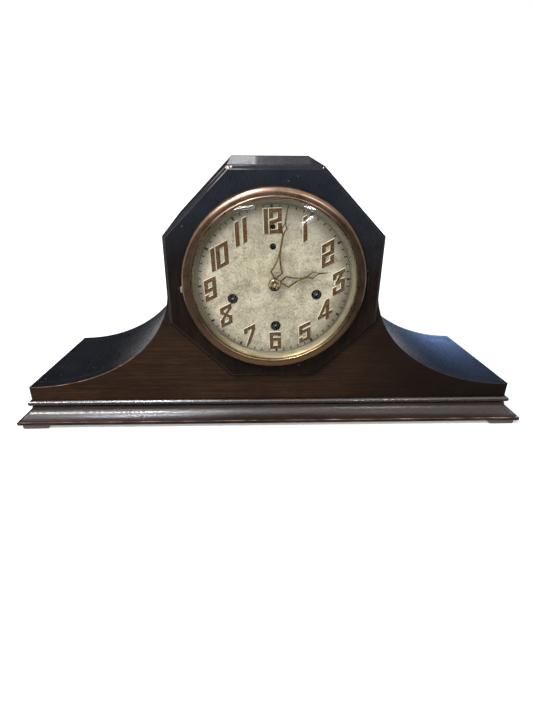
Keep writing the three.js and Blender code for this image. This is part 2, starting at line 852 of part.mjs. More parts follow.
// Knuckles share the hinge's length in three: the fixed leaf has the outer two.
function knuckleSpans(length) {
  const third = length / 3;
  const half = length / 2;
  return {
    outer: [[-half, -third / 2 - runningGap], [third / 2 + runningGap, half]],
    middle: [-third / 2, third / 2],
  };
}

function doorHingePlate() {
  const [x, y] = [doorPinX(), doorPinY()];
  const spans = knuckleSpans(doorHingeLength);
  const half = doorHingeLength / 2;
  const knuckles = spans.outer.map(([z0, z1]) =>
    uprightPin(doorKnuckleRadius, x, y, headCentreZ + z0, headCentreZ + z1),
  );
  const leafEdgeX = x - doorKnuckleRadius - seatGap;
  const leaf = block(
    leafEdgeX - doorLeafWidth, leafEdgeX,
    doorFrontY, doorFrontY + doorLeafThickness,
    headCentreZ - half, headCentreZ + half,
  );
  const webs = spans.outer.map(([z0, z1]) =>
    block(
      leafEdgeX - weldDepth, x,
      doorFrontY, doorFrontY + doorLeafThickness,
      headCentreZ + z0, headCentreZ + z1,
    ),
  );
  const pin = uprightPin(doorPinRadius, x, y, headCentreZ - half, headCentreZ + half);
  return join(leaf, ...knuckles, ...webs, pin);
}

function doorHingeLeaf() {
  const [x, y] = [doorPinX(), doorPinY()];
  const [z0, z1] = knuckleSpans(doorHingeLength).middle;
  const half = doorHingeLength / 2;
  const edgeX = -doorWidth / 2 - seatGap;
  const leaf = block(
    edgeX - doorLeafThickness, edgeX,
    doorFrontY, doorBackY,
    headCentreZ - half, headCentreZ + half,
  );
  const knuckle = uprightPin(doorKnuckleRadius, x, y, headCentreZ + z0, headCentreZ + z1);
  const web = block(x, edgeX, y, y + doorKnuckleRadius, headCentreZ + z0, headCentreZ + z1);
  const radius = boreRadius(doorPinRadius, pinSides);
  const bore = uprightPin(radius, x, y, headCentreZ - half, headCentreZ + half);
  return cut(join(leaf, knuckle, web), bore);
}

// Bezel

function bezelPinX() {
  return bezelRadius + bezelKnuckleRadius + seatGap;
}

// Bent sheet section: a quarter-round outside, the same inside it by the metal's thickness.
function bezelSection() {
  const arc = (radius, height, rise) =>
    Array.from({ length: crownSteps + 1 }, (_, i) => {
      const angle = (quarterTurn * i) / crownSteps;
      const reach = radius - bezelCrownRadius;
      return [bezelCrownRadius + reach * Math.cos(angle), rise - height * Math.sin(angle)];
    });
  const outer = arc(bezelRadius, bezelHeight - seatGap, -seatGap);
  const innerRise = bezelHeight - seatGap - bezelMetalThickness;
  const inner = arc(bezelRadius - bezelMetalThickness, innerRise, -seatGap).reverse();
  const lipDepths = [bezelLipOffset, bezelMetalThickness];
  const lip = lipDepths.map((depth) => [bezelLipRadius, depth - bezelHeight]);
  const profile = [...outer, ...lip, ...inner];
  return [...profile, profile[0]];
}

function bezelRing() {
  const ring = turned(bezelSection(), ringSides);
  const [z0, z1] = knuckleSpans(bezelHingeLength).middle;
  const x = bezelPinX();
  const knuckle = uprightPin(bezelKnuckleRadius, x, -bezelPinStandoff, z0, z1);
  const web = block(
    bezelRadius - bezelMetalThickness / 2, x,
    -bezelPinStandoff - bezelKnuckleRadius, -bezelPinStandoff,
    z0, z1,
  );
  const half = bezelHingeLength / 2;
  const bore = uprightPin(boreRadius(bezelPinRadius, pinSides), x, -bezelPinStandoff, -half, half);
  const tab = block(
    -bezelRadius - tabLength, -bezelRadius + bezelMetalThickness / 2,
    -seatGap - tabThickness, -seatGap,
    -tabWidth / 2, tabWidth / 2,
  );
  tab.rotateY(-tabTurn);
  return cut(join(ring, knuckle, web, tab), bore);
}

function bezelHingePlate() {
  const x = bezelPinX();
  const spans = knuckleSpans(bezelHingeLength);
  const half = bezelHingeLength / 2;
  const leafX = x - bezelLeafWidth;
  const leaf = block(leafX, x + bezelKnuckleRadius, 0, bezelLeafThickness, -half, half);
  const knuckles = spans.outer.map(([z0, z1]) =>
    uprightPin(bezelKnuckleRadius, x, -bezelPinStandoff, z0, z1),
  );
  const webs = spans.outer.map(([z0, z1]) =>
    block(x, x + bezelKnuckleRadius, -bezelPinStandoff, bezelLeafThickness, z0, z1),
  );
  const pin = uprightPin(bezelPinRadius, x, -bezelPinStandoff, -half, half);
  return join(leaf, ...knuckles, ...webs, pin);
}

function glassPoints(radius, rimY, dome) {
  return Array.from({ length: domeSteps + 1 }, (_, i) => {
    const share = i / domeSteps;
    return [radius * share, rimY - dome * (1 - share * share)];
  });
}

function bezelGlass() {
  const domeRadius = bezelLipRadius - seatGap;
  const outer = glassPoints(domeRadius, glassSeatY - seatGap, glassDomeHeight - seatGap);
  const innerRadius = domeRadius - glassThickness;
  const inner = glassPoints(innerRadius, glassSeatY + glassThickness, glassDomeHeight).reverse();
  const rim = [
    [domeRadius, glassSeatY],
    [glassRadius, glassSeatY],
    [glassRadius, glassSeatY + glassThickness],
  ];
  return turned([...outer, ...rim, ...inner], ringSides);
}

// Polished inner cone that holds the glass from behind.
function bezelReflector() {
  const flangeY = glassSeatY + glassThickness + seatGap;
  const coneEndY = dialFrontY - numeralReliefHeight - seatGap;
  const flangeRadius = glassRadius + bezelMetalThickness;
  const throat = glassRadius - reflectorMetalThickness;
  const profile = [
    [flangeRadius, flangeY],
    [throat, flangeY],
    [reflectorInnerRadius, coneEndY],
    [reflectorInnerRadius + reflectorMetalThickness, coneEndY],
    [throat + reflectorMetalThickness, flangeY + reflectorMetalThickness],
    [flangeRadius, flangeY + reflectorMetalThickness],
    [flangeRadius, flangeY],
  ];
  return turned(profile, ringSides);
}

// Dial

// Numeral strokes, in shares of the numeral's width and height. "v" is upright: place, from, to.
// "h" lies across: height at its left and right end, from, to. "d" leans: lower point, upper point.
// "z" is the 2 of twelve, whose middle stroke slopes.
const glyphStrokeShares = {
  0: [["v", 0, 0, 1], ["v", 1, 0, 1], ["h", 0, 0, 0, 1], ["h", 1, 1, 0, 1]],
  1: [["v", 0, 0, 1]],
  2: [
    ["h", 1, 1, 0, 1], ["v", 0, 0.66, 1], ["v", 1, 0.5, 1], ["h", 0.5, 0.5, 0, 1],
    ["v", 0, 0, 0.5], ["h", 0, 0, 0, 1], ["v", 1, 0, 0.34],
  ],
  3: [
    ["h", 1, 1, 0, 1], ["v", 0, 0.72, 1], ["d", 0.3, 0.5, 1, 1], ["h", 0.55, 0.5, 0.24, 1],
    ["v", 1, 0, 0.54], ["h", 0, 0, 0, 1], ["v", 0, 0, 0.34],
  ],
  4: [["v", 1, 0.05, 1], ["d", 0, 0.26, 1, 1], ["h", 0.28, 0.28, 0, 1.3]],
  5: [
    ["h", 1, 1, 0, 1], ["v", 0, 0.48, 1], ["h", 0.62, 0.62, 0, 1], ["v", 1, 0, 0.68],
    ["h", 0, 0, 0, 1], ["v", 0, 0, 0.28],
  ],
  6: [
    ["h", 1, 1, 0, 1], ["v", 0, 0, 1], ["v", 1, 0.76, 1], ["h", 0.6, 0.6, 0, 1],
    ["v", 1, 0, 0.66], ["h", 0, 0, 0, 1],
  ],
  7: [["h", 1, 1, 0, 1], ["v", 0, 0.7, 1], ["v", 1, 0.68, 1], ["d", 0.25, 0, 1, 0.72]],
  8: [
    ["h", 1, 1, 0, 1], ["v", 0, 0.72, 1], ["v", 1, 0.74, 1], ["d", 0, 0.36, 1, 0.78],
    ["d", 1, 0.36, 0, 0.76], ["v", 0, 0, 0.4], ["v", 1, 0, 0.4], ["h", 0, 0, 0, 1],
  ],
  9: [
    ["h", 1, 1, 0, 1], ["v", 0, 0.45, 1], ["h", 0.48, 0.48, 0, 1], ["v", 1, 0, 1],
    ["h", 0, 0, 0, 1], ["v", 0, 0, 0.27],
  ],
  z: [
    ["h", 1, 1, 0, 1], ["v", 0, 0.64, 1], ["v", 1, 0.58, 1], ["h", 0.42, 0.58, 0, 1],
    ["v", 0, 0, 0.44], ["h", 0, 0, 0, 1], ["v", 1, 0, 0.4],
  ],
};

// Each hour: its glyphs, its centre as shares of the numeral ring, its height share, and the slope
// of the strokes that lie across.
const hourShares = [
  ["1z", 0.006, 0.996, 1, 0],
  ["1", 0.508, 0.85, 1, 0.47],
  ["2", 0.87, 0.44, 1, 0.49],
  ["3", 1.056, -0.042, 0.985, 0.49],
  ["4", 0.81, -0.545, 1, 0.5],
  ["5", 0.494, -0.91, 0.84, 0.47],
  ["6", -0.018, -1.033, 0.82, 0],
  ["7", -0.453, -0.91, 0.84, 0.47],
  ["8", -0.83, -0.53, 0.93, 0.47],
  ["9", -1.053, -0.055, 0.94, 0.42],
  ["10", -0.86, 0.48, 0.98, 0.47],
  ["11", -0.496, 0.846, 1, 0.47],
];

// Outlines of one numeral stroke, drawn from the glyph's lower left corner.
function strokeOutline([kind, ...places], width, height) {
  const half = numeralStrokeWidth / 2;
  const across = (share) => half + share * (width - numeralStrokeWidth);
  const up = (share) => half + share * (height - numeralStrokeWidth);
  if (kind === "v") {
    const [place, low, high] = places;
    const x = across(place);
    return rectangle(x - half, x + half, low * height, high * height);
  }
  if (kind === "h") {
    const [left, right, from, to] = places;
    const [x0, x1] = [from * width, to * width];
    const [z0, z1] = [up(left), up(right)];
    return [[x0, z0 - half], [x1, z1 - half], [x1, z1 + half], [x0, z0 + half]];
  }
  const [x0, z0, x1, z1] = places;
  return [
    [across(x0) - half, z0 * height],
    [across(x0) + half, z0 * height],
    [across(x1) + half, z1 * height],
    [across(x1) - half, z1 * height],
  ];
}

function numeralPieces([text, u, v, heightShare, slope]) {
  const height = numeralHeight * heightShare;
  const widths = [...text].map((glyph) => (glyph === "1" ? numeralStrokeWidth : numeralWidth));
  const spacing = text === "11" ? elevenGap : numeralGap;
  const total = widths.reduce((sum, width) => sum + width, spacing * (text.length - 1));
  const thickness = numeralReliefHeight + dialThickness / 2;
  const pieces = [];
  let x = -total / 2;
  [...text].forEach((glyph, i) => {
    for (const stroke of glyphStrokeShares[glyph]) {
      const outline = strokeOutline(stroke, widths[i], height).map(([sx, sz]) => {
        const across = x + sx;
        return [u * numeralRing + across, v * numeralRing + sz - height / 2 + slope * across];
      });
      pieces.push(slab(outline, dialFrontY - numeralReliefHeight, thickness));
    }
    x += widths[i] + spacing;
  });
  return pieces;
}

function windingPlaces() {
  return [arborPlaces.strike, arborPlaces.time, arborPlaces.chime];
}

function dialFeetPlaces() {
  return dialFootShares.map((share) => [
    dialFootRing * Math.cos(share * fullTurn),
    dialFootRing * Math.sin(share * fullTurn),
  ]);
}

function dialPlate() {
  const winding = windingPlaces();
  const small = [[0, regulatorRise], [0, selectorRise]];
  const holes = [
    ...winding.map(([u, v]) => circle(eyeletHoleRadius, holeSides, u, v)),
    ...small.map(([u, v]) => circle(smallEyeletHoleRadius, arborSides, u, v)),
    circle(hourPipeRadius() + freeGap, holeSides),
  ];
  const plate = slab(circle(dialRadius, ringSides), dialFrontY, dialThickness, holes);
  const relief = eyeletReliefHeight + dialThickness;
  const eyeletY = dialFrontY - eyeletReliefHeight;
  const eyelet = (outer, inner, sides, [u, v]) =>
    slab(circle(outer, sides, u, v), eyeletY, relief, [circle(inner, sides, u, v)]);
  const eyelets = [
    ...winding.map((place) => eyelet(eyeletRadius, eyeletHoleRadius, holeSides, place)),
    ...small.map((place) => eyelet(smallEyeletRadius, smallEyeletHoleRadius, arborSides, place)),
  ];
  const feet = dialFeetPlaces().map(([u, v]) => {
    const post = shaft(dialFootRadius, dialBackY - dialThickness / 2, frontPlateY - seatGap);
    post.translate(u, 0, v);
    return post;
  });
  const raised = [...hourShares.flatMap(numeralPieces), ...feet];
  const solid = join(plate, ...raised);
  const bores = [
    ...winding.map(([u, v]) => cutterAt(eyeletHoleRadius, holeSides, u, v)),
    ...small.map(([u, v]) => cutterAt(smallEyeletHoleRadius, arborSides, u, v)),
  ];
  return cut(join(cut(solid, ...bores), ...eyelets), ...bores);
}

// A cutter through the dial, on a polygon that matches its hole.
function cutterAt(radius, sides, u, v) {
  const depth = dialThickness + eyeletReliefHeight + 2 * cutOverrun;
  return slab(circle(radius, sides, u, v), dialFrontY - eyeletReliefHeight - cutOverrun, depth);
}

// Motion work and hands

function cannonRadius() {
  return pinionPitch(motionStudSpread, motionTeeth);
}

// Pitch radius of the pinion in a pair at the given distance.
function pinionPitch(distance, teeth) {
  return (distance * pinionTeeth) / (pinionTeeth + teeth);
}

function cannonPipeRadius() {
  return arborRadius + cannonWallThickness;
}

function hourPipeBore() {
  return (cannonPipeRadius() + runningGap) / Math.cos(halfTurn / holeSides);
}

function hourPipeRadius() {
  return hourPipeBore() + pipeWallThickness;
}

// Centre arbor: hand seat, cannon pinion, centre wheel and the pinion that the middle wheel drives.
function centreArbor(phases) {
  const cannon = gearOutline(pinionTeeth, cannonRadius(), phases.cannon);
  const wheelY = frontPlateBackY + centreDepth;
  const pinionY = frontPlateBackY + middleDepth + (wheelThickness - pinionLength) / 2;
  return join(
    shaft(arborRadius, nutFrontY + nutLength / 2, frontPlateBackY + seatGap + cutOverrun),
    shaft(cannonPipeRadius(), minuteFrontY - seatGap, cannonBackY),
    slab(cannon, cannonBackY - pinionLength, pinionLength),
    shaft(arborRadius, frontPlateBackY + seatGap, backPlateY - seatGap),
    shaft(pivotRadius, backPlateY - seatGap - weldDepth, backPlateBackY),
    slab(pinionOutline(middleRadius, phases.pinion), pinionY, wheelY - pinionY + weldDepth),
    slab(gearOutline(wheelTeeth, centreRadius, phases.wheel), wheelY, wheelThickness),
  );
}

// Pitch radius of the pinion that a train wheel drives.
function pinionOf(wheelRadius) {
  return (wheelRadius * pinionTeeth) / wheelTeeth;
}

function pinionOutline(wheelRadius, toothAngle) {
  return gearOutline(pinionTeeth, pinionOf(wheelRadius), toothAngle);
}

function wheelOutline(radius, toothAngle) {
  return gearOutline(wheelTeeth, radius, toothAngle);
}

function minuteWheel(phases) {
  const wheelY = minuteWheelY;
  const pinionY = motionPinionY;
  const wheel = slab(
    gearOutline(motionTeeth, motionStudSpread - cannonRadius(), phases.wheel),
    wheelY, wheelThickness, [bearing(pivotRadius)],
  );
  const pinion = slab(
    gearOutline(pinionTeeth, pinionPitch(motionStudSpread, wheelTeeth), phases.pinion),
    pinionY, wheelY - pinionY + weldDepth, [bearing(pivotRadius)],
  );
  const boreLength = wheelY - pinionY + wheelThickness + 2 * cutOverrun;
  const bore = slab(bearing(pivotRadius), pinionY - cutOverrun, boreLength);
  return cut(join(wheel, pinion), bore);
}

function hourWheel(phase) {
  const wheelY = hourWheelY;
  const pitchRadius = motionStudSpread - pinionPitch(motionStudSpread, wheelTeeth);
  const teeth = gearOutline(wheelTeeth, pitchRadius, phase);
  const wheel = slab(teeth, wheelY, wheelThickness);
  const [y0, y1] = [hourFrontY - seatGap, wheelY + wheelThickness];
  const pipe = shaft(hourPipeRadius(), y0, y1, holeSides);
  const bore = shaft(hourPipeBore(), y0 - cutOverrun, y1 + cutOverrun, holeSides);
  return cut(join(wheel, pipe), bore);
}

// Openwork hands drawn pointing up, with kite, diamond and point in shares of the hand's length:
// across it, and along it.
const minuteHandShares = {
  kite: [[0, 0.063], [0.084, 0.165], [0, 0.357], [-0.073, 0.161]],
  diamond: [[0, 0.678], [0.038, 0.755], [0, 0.812], [-0.033, 0.747]],
  point: [[0.011, 0.85], [0.005, 1], [-0.005, 1], [-0.011, 0.85]],
};
const hourHandShares = {
  kite: [[0, 0.099], [0.124, 0.25], [0.01, 0.456], [-0.086, 0.24]],
  diamond: [[0, 0.618], [0.056, 0.717], [-0.022, 0.832], [-0.074, 0.728]],
  point: [[0.018, 0.866], [0.007, 1], [-0.007, 1], [-0.018, 0.866]],
};

function hand(shares, length, bossRadius, boreOutline, yFront) {
  const scaled = (list) => list.map(([x, z]) => [x * length, z * length]);
  const flat = (outline) => slab(outline, yFront, handThickness);
  const openwork = (outline) => slab(outline, yFront, handThickness, [inset(outline, handWireWidth)]);
  const [kite, diamond, tip] = [shares.kite, shares.diamond, shares.point].map(scaled);
  const [kiteFoot, , kiteTop] = kite;
  const [diamondFoot, , diamondTop] = diamond;
  const pointBase = [-1, 1].map((side) => [
    diamondTop[0] + (side * handWireWidth) / 2,
    diamondTop[1] - handWireWidth,
  ]);
  const neck = bar(
    [0, bossRadius - handWireWidth],
    [0, kiteFoot[1] + 2 * handWireWidth],
    2 * handWireWidth,
  );
  const stem = bar(
    [kiteTop[0], kiteTop[1] - handWireWidth],
    [diamondFoot[0], diamondFoot[1] + 2 * handWireWidth],
    handWireWidth,
  );
  const solid = join(
    flat(circle(bossRadius, holeSides)),
    flat(neck),
    openwork(kite),
    flat(stem),
    openwork(diamond),
    flat([...pointBase, ...tip]),
  );
  return cut(solid, slab(boreOutline, yFront - cutOverrun, handThickness + 2 * cutOverrun));
}

function handNut() {
  const backY = minuteFrontY - seatGap;
  const boreRadius = arborRadius + seatGap;
  const profile = [
    ...nutCrownShares.map(([out, along]) => [nutRadius * out, nutFrontY + nutLength * along]),
    [nutRadius, backY],
    [boreRadius, backY],
    [boreRadius, nutFrontY + nutLength / 2 - seatGap],
    [0, nutFrontY + nutLength / 2 - seatGap],
  ];
  return turned(profile, holeSides);
}

// Movement frame

function cornerPlaces() {
  const x = plateHalfWidth - pillarInset;
  const [top, low] = [plateTop - pillarInset, -plateBottom + pillarInset];
  return [[-x, top], [x, top], [x, low], [-x, low]];
}

function plateOutline() {
  return rectangle(-plateHalfWidth, plateHalfWidth, -plateBottom, plateTop);
}

// Bearing holes that both plates share.
function bearingHoles() {
  const arbors = ["middle", "third", "escape", "anchor", "strikeWheel", "drum"];
  const winding = ["strike", "time", "chime"];
  return [
    ...arbors.map((name) => bearing(pivotRadius, ...arborPlaces[name])),
    ...winding.map((name) => bearing(windingArborRadius, ...arborPlaces[name])),
  ];
}

// The front plate lies against the back of the front board and carries the minute wheel's stud.
function frontPlate() {
  const holes = [
    ...bearingHoles(),
    ...cornerPlaces().map(([u, v]) => circle(tenonRadius + seatGap, arborSides, u, v)),
    bearing(smallArborRadius, 0, regulatorRise),
    bearing(smallArborRadius, 0, selectorRise),
    bearing(arborRadius),
  ];
  const plate = slab(plateOutline(), frontPlateY, plateThickness, holes);
  const stud = shaft(pivotRadius, motionPinionY, frontPlateY + plateThickness / 2);
  const [u, v] = motionPlace;
  stud.translate(u, 0, v);
  return join(plate, stud);
}

// The pillars are riveted into the back plate.
function backPlate() {
  const holes = [...bearingHoles(), bearing(pivotRadius)];
  const plate = slab(plateOutline(), backPlateY, plateThickness, holes);
  const pillars = cornerPlaces().flatMap(([u, v]) => {
    const post = shaft(pillarRadius, frontPlateBackY + seatGap, backPlateY + plateThickness / 2);
    const tenon = shaft(tenonRadius, frontPlateY, frontPlateBackY + seatGap + weldDepth);
    post.translate(u, 0, v);
    tenon.translate(u, 0, v);
    return [post, tenon];
  });
  return join(plate, ...pillars);
}

// Wheels between the plates

// An arbor with pivots in both plates, one wheel and one pinion.
function trainArbor(wheel, pinion) {
  const y0 = frontPlateBackY + seatGap;
  const y1 = backPlateY - seatGap;
  const pinionY = frontPlateBackY + pinion.depth + (wheelThickness - pinionLength) / 2;
  return join(
    shaft(pivotRadius, frontPlateY, y0 + weldDepth),
    shaft(arborRadius, y0, y1),
    shaft(pivotRadius, y1 - weldDepth, backPlateBackY),
    slab(wheel.outline, frontPlateBackY + wheel.depth, wheelThickness),
    slab(pinion.outline, pinionY, pinionLength),
  );
}

function barrel(toothAngle) {
  const bore = boreRadius(windingArborRadius, arborSides);
  const y0 = frontPlateBackY + greatDepth;
  const wheel = slab(gearOutline(wheelTeeth, greatRadius, toothAngle), y0, wheelThickness);
  const y1 = y0 + wheelThickness + barrelLength;
  const drum = shaft(barrelRadius, y0 + wheelThickness - weldDepth, y1, drumSides);
  const cutter = shaft(bore, y0 - cutOverrun, y1 + cutOverrun);
  return cut(join(wheel, drum), cutter);
}

function windingArbor() {
  const half = windingSquareWidth / 2;
  const squareBackY = frontPlateY - ratchetDepth - wheelThickness;
  const squareFrontY = dialFrontY + dialThickness / 2;
  const ratchetY = frontPlateY - ratchetDepth;
  return join(
    block(-half, half, squareFrontY, squareBackY + weldDepth, -half, half),
    shaft(windingArborRadius, squareBackY, backPlateBackY),
    slab(sawOutline(ratchetTeeth, ratchetRadius, ratchetToothDepth), ratchetY, wheelThickness),
  );
}

function escapeWheel(phase) {
  const wheel = { outline: sawOutline(escapeTeeth, escapeRadius, escapeToothDepth), depth: escapeDepth };
  const pinion = { outline: gearOutline(pinionTeeth, pinionOf(thirdRadius), phase), depth: thirdDepth };
  return trainArbor(wheel, pinion);
}

// Anchor over the escape wheel, with its arbor and the crutch behind the back plate.
function palletAnchor() {
  const drop = anchorRise - escapeRise;
  const reach = escapeRadius + palletClearance;
  const side = reach * Math.SQRT1_2;
  const y0 = frontPlateBackY + escapeDepth;
  const pallet = (way) => [way * (side + palletThickness / 2), side + palletThickness / 2 - drop];
  const arms = [-1, 1].map((way) => slab(bar([0, 0], pallet(way), palletThickness), y0, wheelThickness));
  const crutchY = backPlateBackY + seatGap + freeGap;
  const forkY = backPlateBackY + pendulumDepth;
  const forkHalf = rodRadius + seatGap + handWireWidth;
  const crutch = slab(
    [[-palletThickness, 0], [palletThickness, 0], [forkHalf, -crutchLength], [-forkHalf, -crutchLength]],
    crutchY, handWireWidth,
  );
  const forks = [-1, 1].map((way) =>
    block(
      way > 0 ? forkHalf - handWireWidth : -forkHalf, way > 0 ? forkHalf : handWireWidth - forkHalf,
      crutchY, forkY + rodRadius,
      -crutchLength, -crutchLength + palletThickness,
    ),
  );
  return join(
    shaft(pivotRadius, frontPlateY, crutchY + handWireWidth),
    shaft(anchorHubRadius, y0, y0 + wheelThickness),
    ...arms,
    crutch,
    ...forks,
  );
}

// Bracket behind the back plate that the pendulum hangs from.
function pendulumCock() {
  const half = cockWidth / 2;
  const y0 = backPlateBackY + seatGap;
  const low = anchorHubRadius + freeGap;
  const foot = block(-half, half, y0, y0 + plateThickness, low, low + anchorHubRadius);
  const arm = block(-arborRadius, arborRadius, y0, y0 + cockLength, low, low + anchorHubRadius);
  return join(foot, arm);
}

// The rod and the bob are drawn about the anchor's arbor.
function pendulumRod() {
  const y = backPlateBackY + pendulumDepth;
  const top = anchorHubRadius + freeGap - seatGap;
  const bobTop = bobDrop() + bobRadius + seatGap;
  return uprightPin(rodRadius, 0, y, bobTop, top);
}

function bobDrop() {
  return bobZ - inCase(arborPlaces.anchor)[1];
}

function pendulumBob() {
  const y = backPlateBackY + pendulumDepth;
  const half = bobThickness / 2;
  const profile = [
    [0, y - half],
    [bobRadius * bobShoulderShare, y - half * bobSwellShare],
    [bobRadius, y],
    [bobRadius * bobShoulderShare, y + half * bobSwellShare],
    [0, y + half],
  ];
  const bob = turned(profile, drumSides);
  bob.translate(0, 0, bobDrop());
  return bob;
}

function settingArbor(leverLength) {
  const y0 = dialFrontY - seatGap;
  const outline = bar([0, 0], [0, -leverLength], 2 * arborRadius);
  const lever = slab(outline, frontPlateY - leverDepth, wheelThickness);
  return join(shaft(smallArborRadius, y0, frontPlateBackY + wheelThickness), lever);
}

// Chime work, behind the back plate

function hammerY(k) {
  return backPlateBackY + firstHammerDepth + k * hammerPitch;
}

// Pin drum on its arbor, driven between the plates by the chime barrel.
function chimeDrum(phase) {
  const pinionY = frontPlateBackY + greatDepth + (wheelThickness - pinionLength) / 2;
  const coreY0 = chimeFrameY + chimeFrameThickness + freeGap;
  const coreY1 = chimeFrameBackY - freeGap;
  const discs = Array.from({ length: hammerCount }, (_, k) => {
    const outline = sawOutline(drumTeeth, drumRadius, drumToothDepth);
    const disc = slab(outline, hammerY(k) - drumDiscThickness / 2, drumDiscThickness);
    disc.rotateY((fullTurn * k) / hammerCount / drumTeeth);
    return disc;
  });
  return join(
    shaft(pivotRadius, frontPlateY, chimeFrameBackY + chimeFrameThickness),
    shaft(arborRadius, frontPlateBackY + seatGap, backPlateY - seatGap),
    slab(pinionOutline(greatRadius, phase), pinionY, pinionLength),
    shaft(drumCoreRadius, coreY0, coreY1),
    ...discs,
  );
}

// Bracket with the fixed hammer shaft, drawn about the dial centre.
function chimeFrame() {
  const [u, v] = arborPlaces.drum;
  const [pivotU, pivotV] = hammerPivot;
  const left = u - drumRadius - hammerHubRadius;
  const right = pivotU + 2 * hammerHubRadius;
  const low = pivotV - 2 * hammerHubRadius;
  const high = v + drumRadius;
  const endY = chimeFrameBackY + chimeFrameThickness;
  const outline = rectangle(left, right, low, high);
  const leaf = (y) => slab(outline, y, chimeFrameThickness, [bearing(pivotRadius, u, v)]);
  const bridge = block(right - chimeFrameThickness, right, chimeFrameY, endY, low, high);
  const hammerShaft = shaft(hammerShaftRadius, chimeFrameY, endY);
  hammerShaft.translate(pivotU, 0, pivotV);
  return join(leaf(chimeFrameY), leaf(chimeFrameBackY), bridge, hammerShaft);
}

// A hammer about its pivot: hub, tail beside the drum, arm and head above its rod.
function hammer(headPlace, k) {
  const y0 = hammerY(k) - hammerThickness / 2;
  const borePin = boreRadius(hammerShaftRadius, arborSides);
  const bore = shaft(borePin, y0 - cutOverrun, y0 + hammerThickness + cutOverrun);
  const [headX, headZ] = headPlace;
  const [drumX, drumZ] = [-hammerPivotOffset, hammerPivotDrop];
  const distance = Math.hypot(drumX, drumZ);
  const away = drumRadius + 2 * freeGap + hammerArmWidth;
  const aside = [drumX + (away * drumZ) / distance, drumZ - (away * drumX) / distance];
  const armY = hammerY(k) - drumDiscThickness / 2;
  const head = levelPin(hammerHeadRadius, 0, hammerHeadLength, 0, 0);
  head.rotateY(quarterTurn);
  head.translate(headX, hammerY(k), headZ + hammerHeadLength);
  return cut(
    join(
      shaft(hammerHubRadius, y0, y0 + hammerThickness),
      slab(bar([0, 0], aside, hammerArmWidth), armY, drumDiscThickness),
      slab(bar([0, 0], [headX, headZ + hammerHeadLength / 2], hammerArmWidth), armY, drumDiscThickness),
      head,
    ),
    bore,
  );
}

// Iron block on the bottom board, with the tuned rods pressed into it.
function gongBlockWithRods() {
  const y0 = hammerY(0) - hammerPitch;
  const y1 = hammerY(hammerCount - 1) + hammerPitch;
  const body = block(
    gongBlockLeft, gongBlockLeft + gongBlockWidth,
    y0, y1,
    boardBottomZ, chimeRodHeight + gongBlockHeadHeight,
  );
  const rods = Array.from({ length: hammerCount }, (_, k) => {
    const endX = gongBlockLeft - chimeRodLength + k * chimeRodStep;
    return levelPin(chimeRodRadius, endX, gongBlockLeft + weldDepth, hammerY(k), chimeRodHeight);
  });
  return join(body, ...rods);
}

// Angles that put each pair of wheels in mesh

function direction([u0, v0], [u1, v1]) {
  return Math.atan2(v1 - v0, u1 - u0);
}

// Tooth angle of a driven gear whose gap faces its neighbour.
function gapTowards(from, to, teeth) {
  return direction(from, to) + halfTurn / teeth;
}

// Assembly

function piece(parent, name, geometry, material, place = [0, 0]) {
  const mesh = new THREE.Mesh(closed(geometry), material);
  mesh.name = name;
  mesh.position.set(place[0], 0, place[1]);
  parent.add(mesh);
  return mesh;
}

function addCase(clock) {
  piece(clock, "bottom_board", bottomBoard(), innerWood());
  piece(clock, "plinth_front", plinthFront(), brownWood());
  piece(clock, "front_board", frontBoard(), brownWood());
  piece(clock, "octagon_panel", octagonPanel(), blackWood());
  piece(clock, "back_board", backBoard(), brownWood());
  for (const [side, word] of [[-1, "left"], [1, "right"]]) {
    piece(clock, `plinth_${word}`, plinthSide(side), brownWood());
    piece(clock, `${word}_shoulder_skin`, shoulderSkin(side), blackWood());
    piece(clock, `${word}_end_board`, endBoard(side), brownWood());
    piece(clock, `head_${word}_wall`, headWall(side), blackWood());
    piece(clock, `foot_front_${word}`, foot(side, true), brownWood());
    piece(clock, `foot_back_${word}`, foot(side, false), brownWood());
  }
  const corners = octagon(headHalf);
  piece(clock, "head_right_slope", headBoard(corners[1], corners[2]), blackWood());
  piece(clock, "head_top", headBoard(corners[2], corners[3]), blackWood());
  piece(clock, "head_left_slope", headBoard(corners[3], corners[4]), blackWood());
}

function addBackDoor(clock) {
  piece(clock, "back_door", backDoor(), brownWood());
  piece(clock, "door_knob", doorKnob(), paleBrass());
  piece(clock, "door_hinge_plate", doorHingePlate(), plateBrass());
  piece(clock, "door_hinge_leaf", doorHingeLeaf(), plateBrass());
}

function addBezel(head) {
  piece(head, "bezel_ring", bezelRing(), copperBrass());
  piece(head, "bezel_glass", bezelGlass(), clearGlass());
  piece(head, "bezel_reflector", bezelReflector(), paleBrass());
  piece(head, "bezel_hinge_plate", bezelHingePlate(), plateBrass());
}

